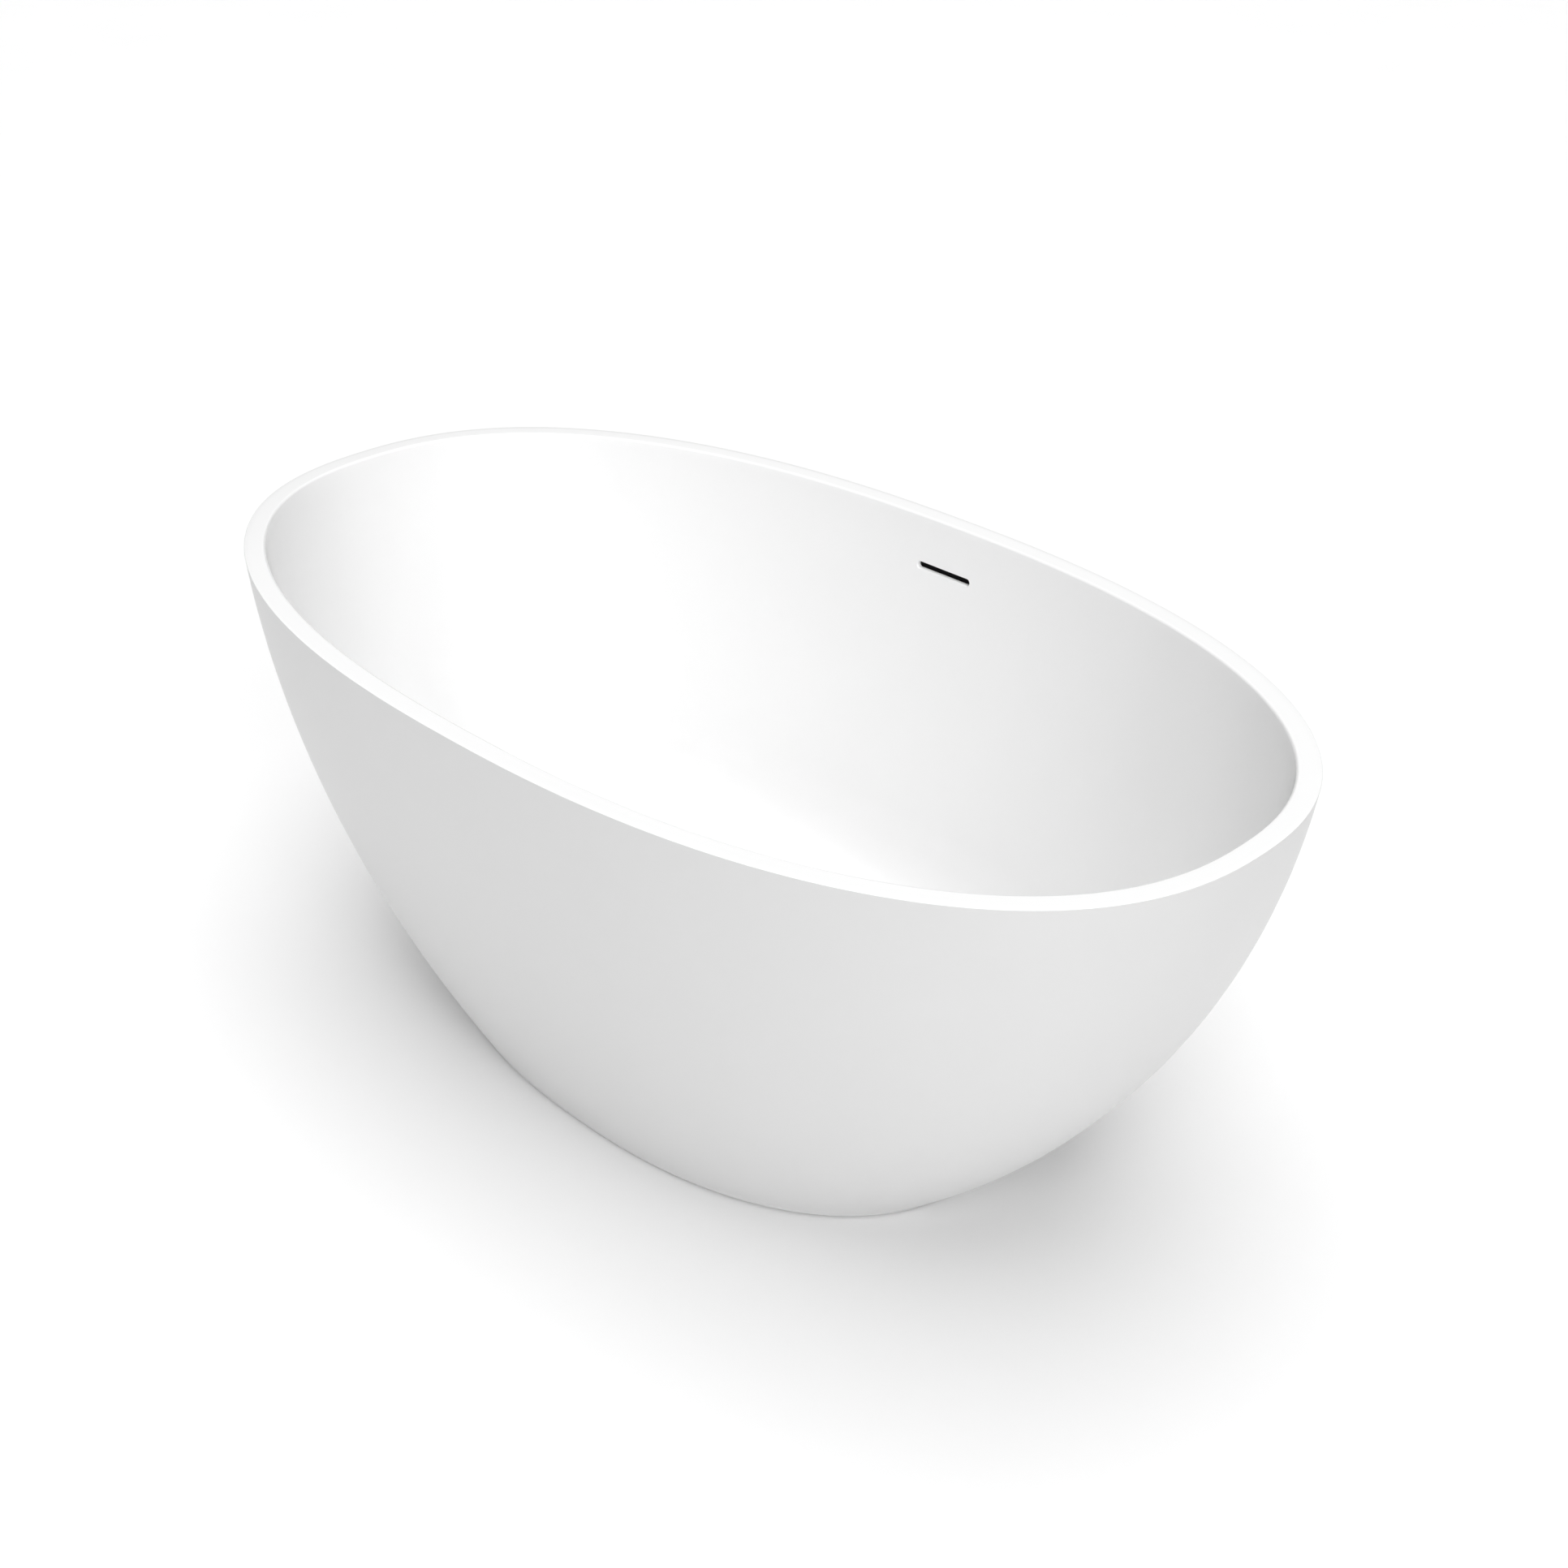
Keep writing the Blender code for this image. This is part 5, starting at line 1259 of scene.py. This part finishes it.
for corner in CORNERS:
    body = f"foot_{corner}"
    low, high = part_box(f"foot_pad_{corner}")
    middle = ((low.x + high.x) / 2, (low.y + high.y) / 2)
    radius = high.x - middle[0]
    pad_side = radius - PAD_RIB_HEIGHT
    pad = turned(f"pad_{corner}", [
        (radius - 2 * PAD_EDGE, high.z), (pad_side, high.z - 2 * PAD_EDGE), (pad_side, low.z + PAD_EDGE / 2),
        (pad_side - PAD_EDGE / 2, low.z), *((reach, low.z + up) for reach, up in TREAD),
    ], RUBBER_FINISH, middle=middle, ring=False, edge=0)
    rib_foot, rib_top = low.z + PAD_EDGE / 2, high.z - 2 * PAD_EDGE
    raise_ribs(pad, PAD_RIBS, 0.5, rib_foot, rib_top, PAD_RIB_HEIGHT, middle)
    dress(pad, RUBBER_FINISH)
    place_piece(pad, body, f"foot_pad_{corner}")
    low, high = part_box(f"foot_stud_{corner}")
    stud = hexagon(f"stud_{corner}", middle, low.z, low.z + HEXAGON_HEIGHT)
    core_radius = THREAD_ROOT + TRIM
    core_foot = low.z + HEXAGON_HEIGHT / 2
    core = turned("core", [
        (core_radius - CORE_CHAMFER, high.z), (core_radius, high.z - CORE_CHAMFER), (core_radius, core_foot),
    ], STEEL_FINISH, middle=middle, ring=False, edge=0, points=32)
    combine(stud, core, "UNION")
    ridge = thread("ridge", middle, low.z + HEXAGON_HEIGHT - RIDGE_START, high.z - RIDGE_STOP)
    pick(stud)
    ridge.select_set(True)
    bpy.ops.object.join()
    dress(stud, STEEL_FINISH, smooth=35)
    place_piece(stud, body, f"foot_stud_{corner}")
    for kind in ("weld", "lock"):
        node = f"foot_{kind}_nut_{corner}"
        low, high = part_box(node)
        nut = hexagon(f"{kind}_nut_{corner}", middle, low.z, high.z)
        bore_foot, bore_top = (*middle, low.z - THROUGH), (*middle, high.z + THROUGH)
        combine(nut, rod("bore", STUD_CLEARANCE, bore_foot, bore_top))
        dress(nut, STEEL_FINISH)
        place_piece(nut, "bath", node)
print("feet:", len(CORNERS), "stud faces:", len(stud.data.polygons))

# %% [markdown]
# The brackets are strips of sheet bent once, so they are made the way they are bent: one edge is extruded
# along the strip's middle line, round the bend, and the sheet's thickness is added last.

# %% The skirt's brackets and their screws
SHEET = 0.003
BEND = 0.0035
BEND_STEPS = 6
SCREW_DOME = ((0.55, 0.0), (0.8, 0.0004), (0.95, 0.0012), (1.0, 0.0022), (1.0, 0.0030))
SHANK = 0.003
CROSS_LENGTH = 0.0056
CROSS_WIDTH = 0.0012
CROSS_DEPTH = 0.0015


def bent_strip(name, width, middle_x, line):
    """A strip of sheet along a line of (y, z) points."""
    bpy.ops.object.select_all(action="DESELECT")
    bpy.ops.mesh.primitive_plane_add(size=width, enter_editmode=True, location=(0, 0, 0))
    strip = bpy.context.object
    strip.name = strip.data.name = name
    bpy.ops.mesh.select_mode(type="VERT")
    bpy.ops.mesh.select_all(action="DESELECT")
    mesh = bmesh.from_edit_mesh(strip.data)
    for vert in mesh.verts:
        vert.select_set(vert.co.y > 0)
    bmesh.update_edit_mesh(strip.data)
    bpy.ops.mesh.delete(type="VERT")
    bpy.ops.mesh.select_mode(type="EDGE")
    bpy.ops.mesh.select_all(action="SELECT")
    here = Vector((0, -width / 2, 0))
    first = Vector((middle_x, *line[0]))
    bpy.ops.transform.translate(value=first - here)
    for start, end in zip(line, line[1:]):
        bpy.ops.mesh.extrude_edges_move()
        bpy.ops.transform.translate(value=(0, end[0] - start[0], end[1] - start[1]))
    bpy.ops.object.mode_set(mode="OBJECT")
    shaped(strip, "SOLIDIFY", thickness=SHEET, offset=0, use_even_offset=True)
    shaped(strip, "BEVEL", width=0.0003, segments=2, limit_method="ANGLE", angle_limit=math.radians(60))
    return strip


for corner in CORNERS:
    low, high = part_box(f"skirt_bracket_{corner}")
    sign = 1 if corner.endswith("back") else -1
    inner_y = (low.y if sign > 0 else high.y) + sign * SHEET / 2
    outer_y = high.y if sign > 0 else low.y
    ledge_z = low.z + SHEET / 2
    line = [(inner_y, high.z), (inner_y, ledge_z + BEND)]
    for angle in spread(0, math.pi / 2, BEND_STEPS)[1:]:
        line.append((
            inner_y + sign * BEND * (1 - math.cos(angle)), ledge_z + BEND * (1 - math.sin(angle)),
        ))
    line.append((outer_y, ledge_z))
    bracket = bent_strip(f"bracket_{corner}", high.x - low.x, (low.x + high.x) / 2, line)
    screw_low, screw_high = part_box(f"bracket_screw_{corner}")
    x, y = (screw_low.x + screw_high.x) / 2, (screw_low.y + screw_high.y) / 2
    combine(bracket, rod("hole", SCREW_HOLE, (x, y, low.z - THROUGH), (x, y, low.z + THROUGH)))
    dress(bracket, STEEL_FINISH)
    place_piece(bracket, "bath", f"skirt_bracket_{corner}")
    head_radius = screw_high.x - x
    head_z = screw_high.z - SCREW_DOME[-1][1]
    screw = turned(f"screw_{corner}", [
        *((head_radius * share, screw_high.z - down) for share, down in SCREW_DOME),
        (SHANK, head_z), (SHANK, screw_low.z),
    ], BRIGHT_FINISH, middle=(x, y), ring=False, edge=0, points=48)
    for size_x, size_y in ((CROSS_LENGTH, CROSS_WIDTH), (CROSS_WIDTH, CROSS_LENGTH)):
        slit = corners_of((x, y, screw_high.z), (size_x, size_y, 2 * CROSS_DEPTH))
        combine(screw, block("slit", *slit))
    dress(screw, BRIGHT_FINISH)
    place_piece(screw, "bath", f"bracket_screw_{corner}")
print("brackets and screws:", 2 * len(CORNERS))

# %% [markdown]
# The plug's spring and the duct's gasket stay as the engineering model has them, because their shape is
# right already. Every node is given its finish, so that it also looks right if it is shown by itself.

# %% The carried-over nodes' finishes
FINISHES = {
    "board": BOARD_FINISH,
    "steel": STEEL_FINISH,
    "spring_steel": BRIGHT_FINISH,
    "chrome": CHROME_FINISH,
    "black_plastic": BLACK_FINISH,
    "white_plastic": WHITE_FINISH,
    "hose": HOSE_FINISH,
    "rubber": RUBBER_FINISH,
    "basin_acrylic": BASIN_FINISH,
    # The skirt's finish carries painted shade in its darker tone.
    "skirt_acrylic": SHADED_SKIRT_FINISH,
}
for part in frame["record"]["subparts"]:
    node = frame["nodes"][part["node"]]
    node.data.materials.clear()
    node.data.materials.append(FINISHES[part["material_slot"]])
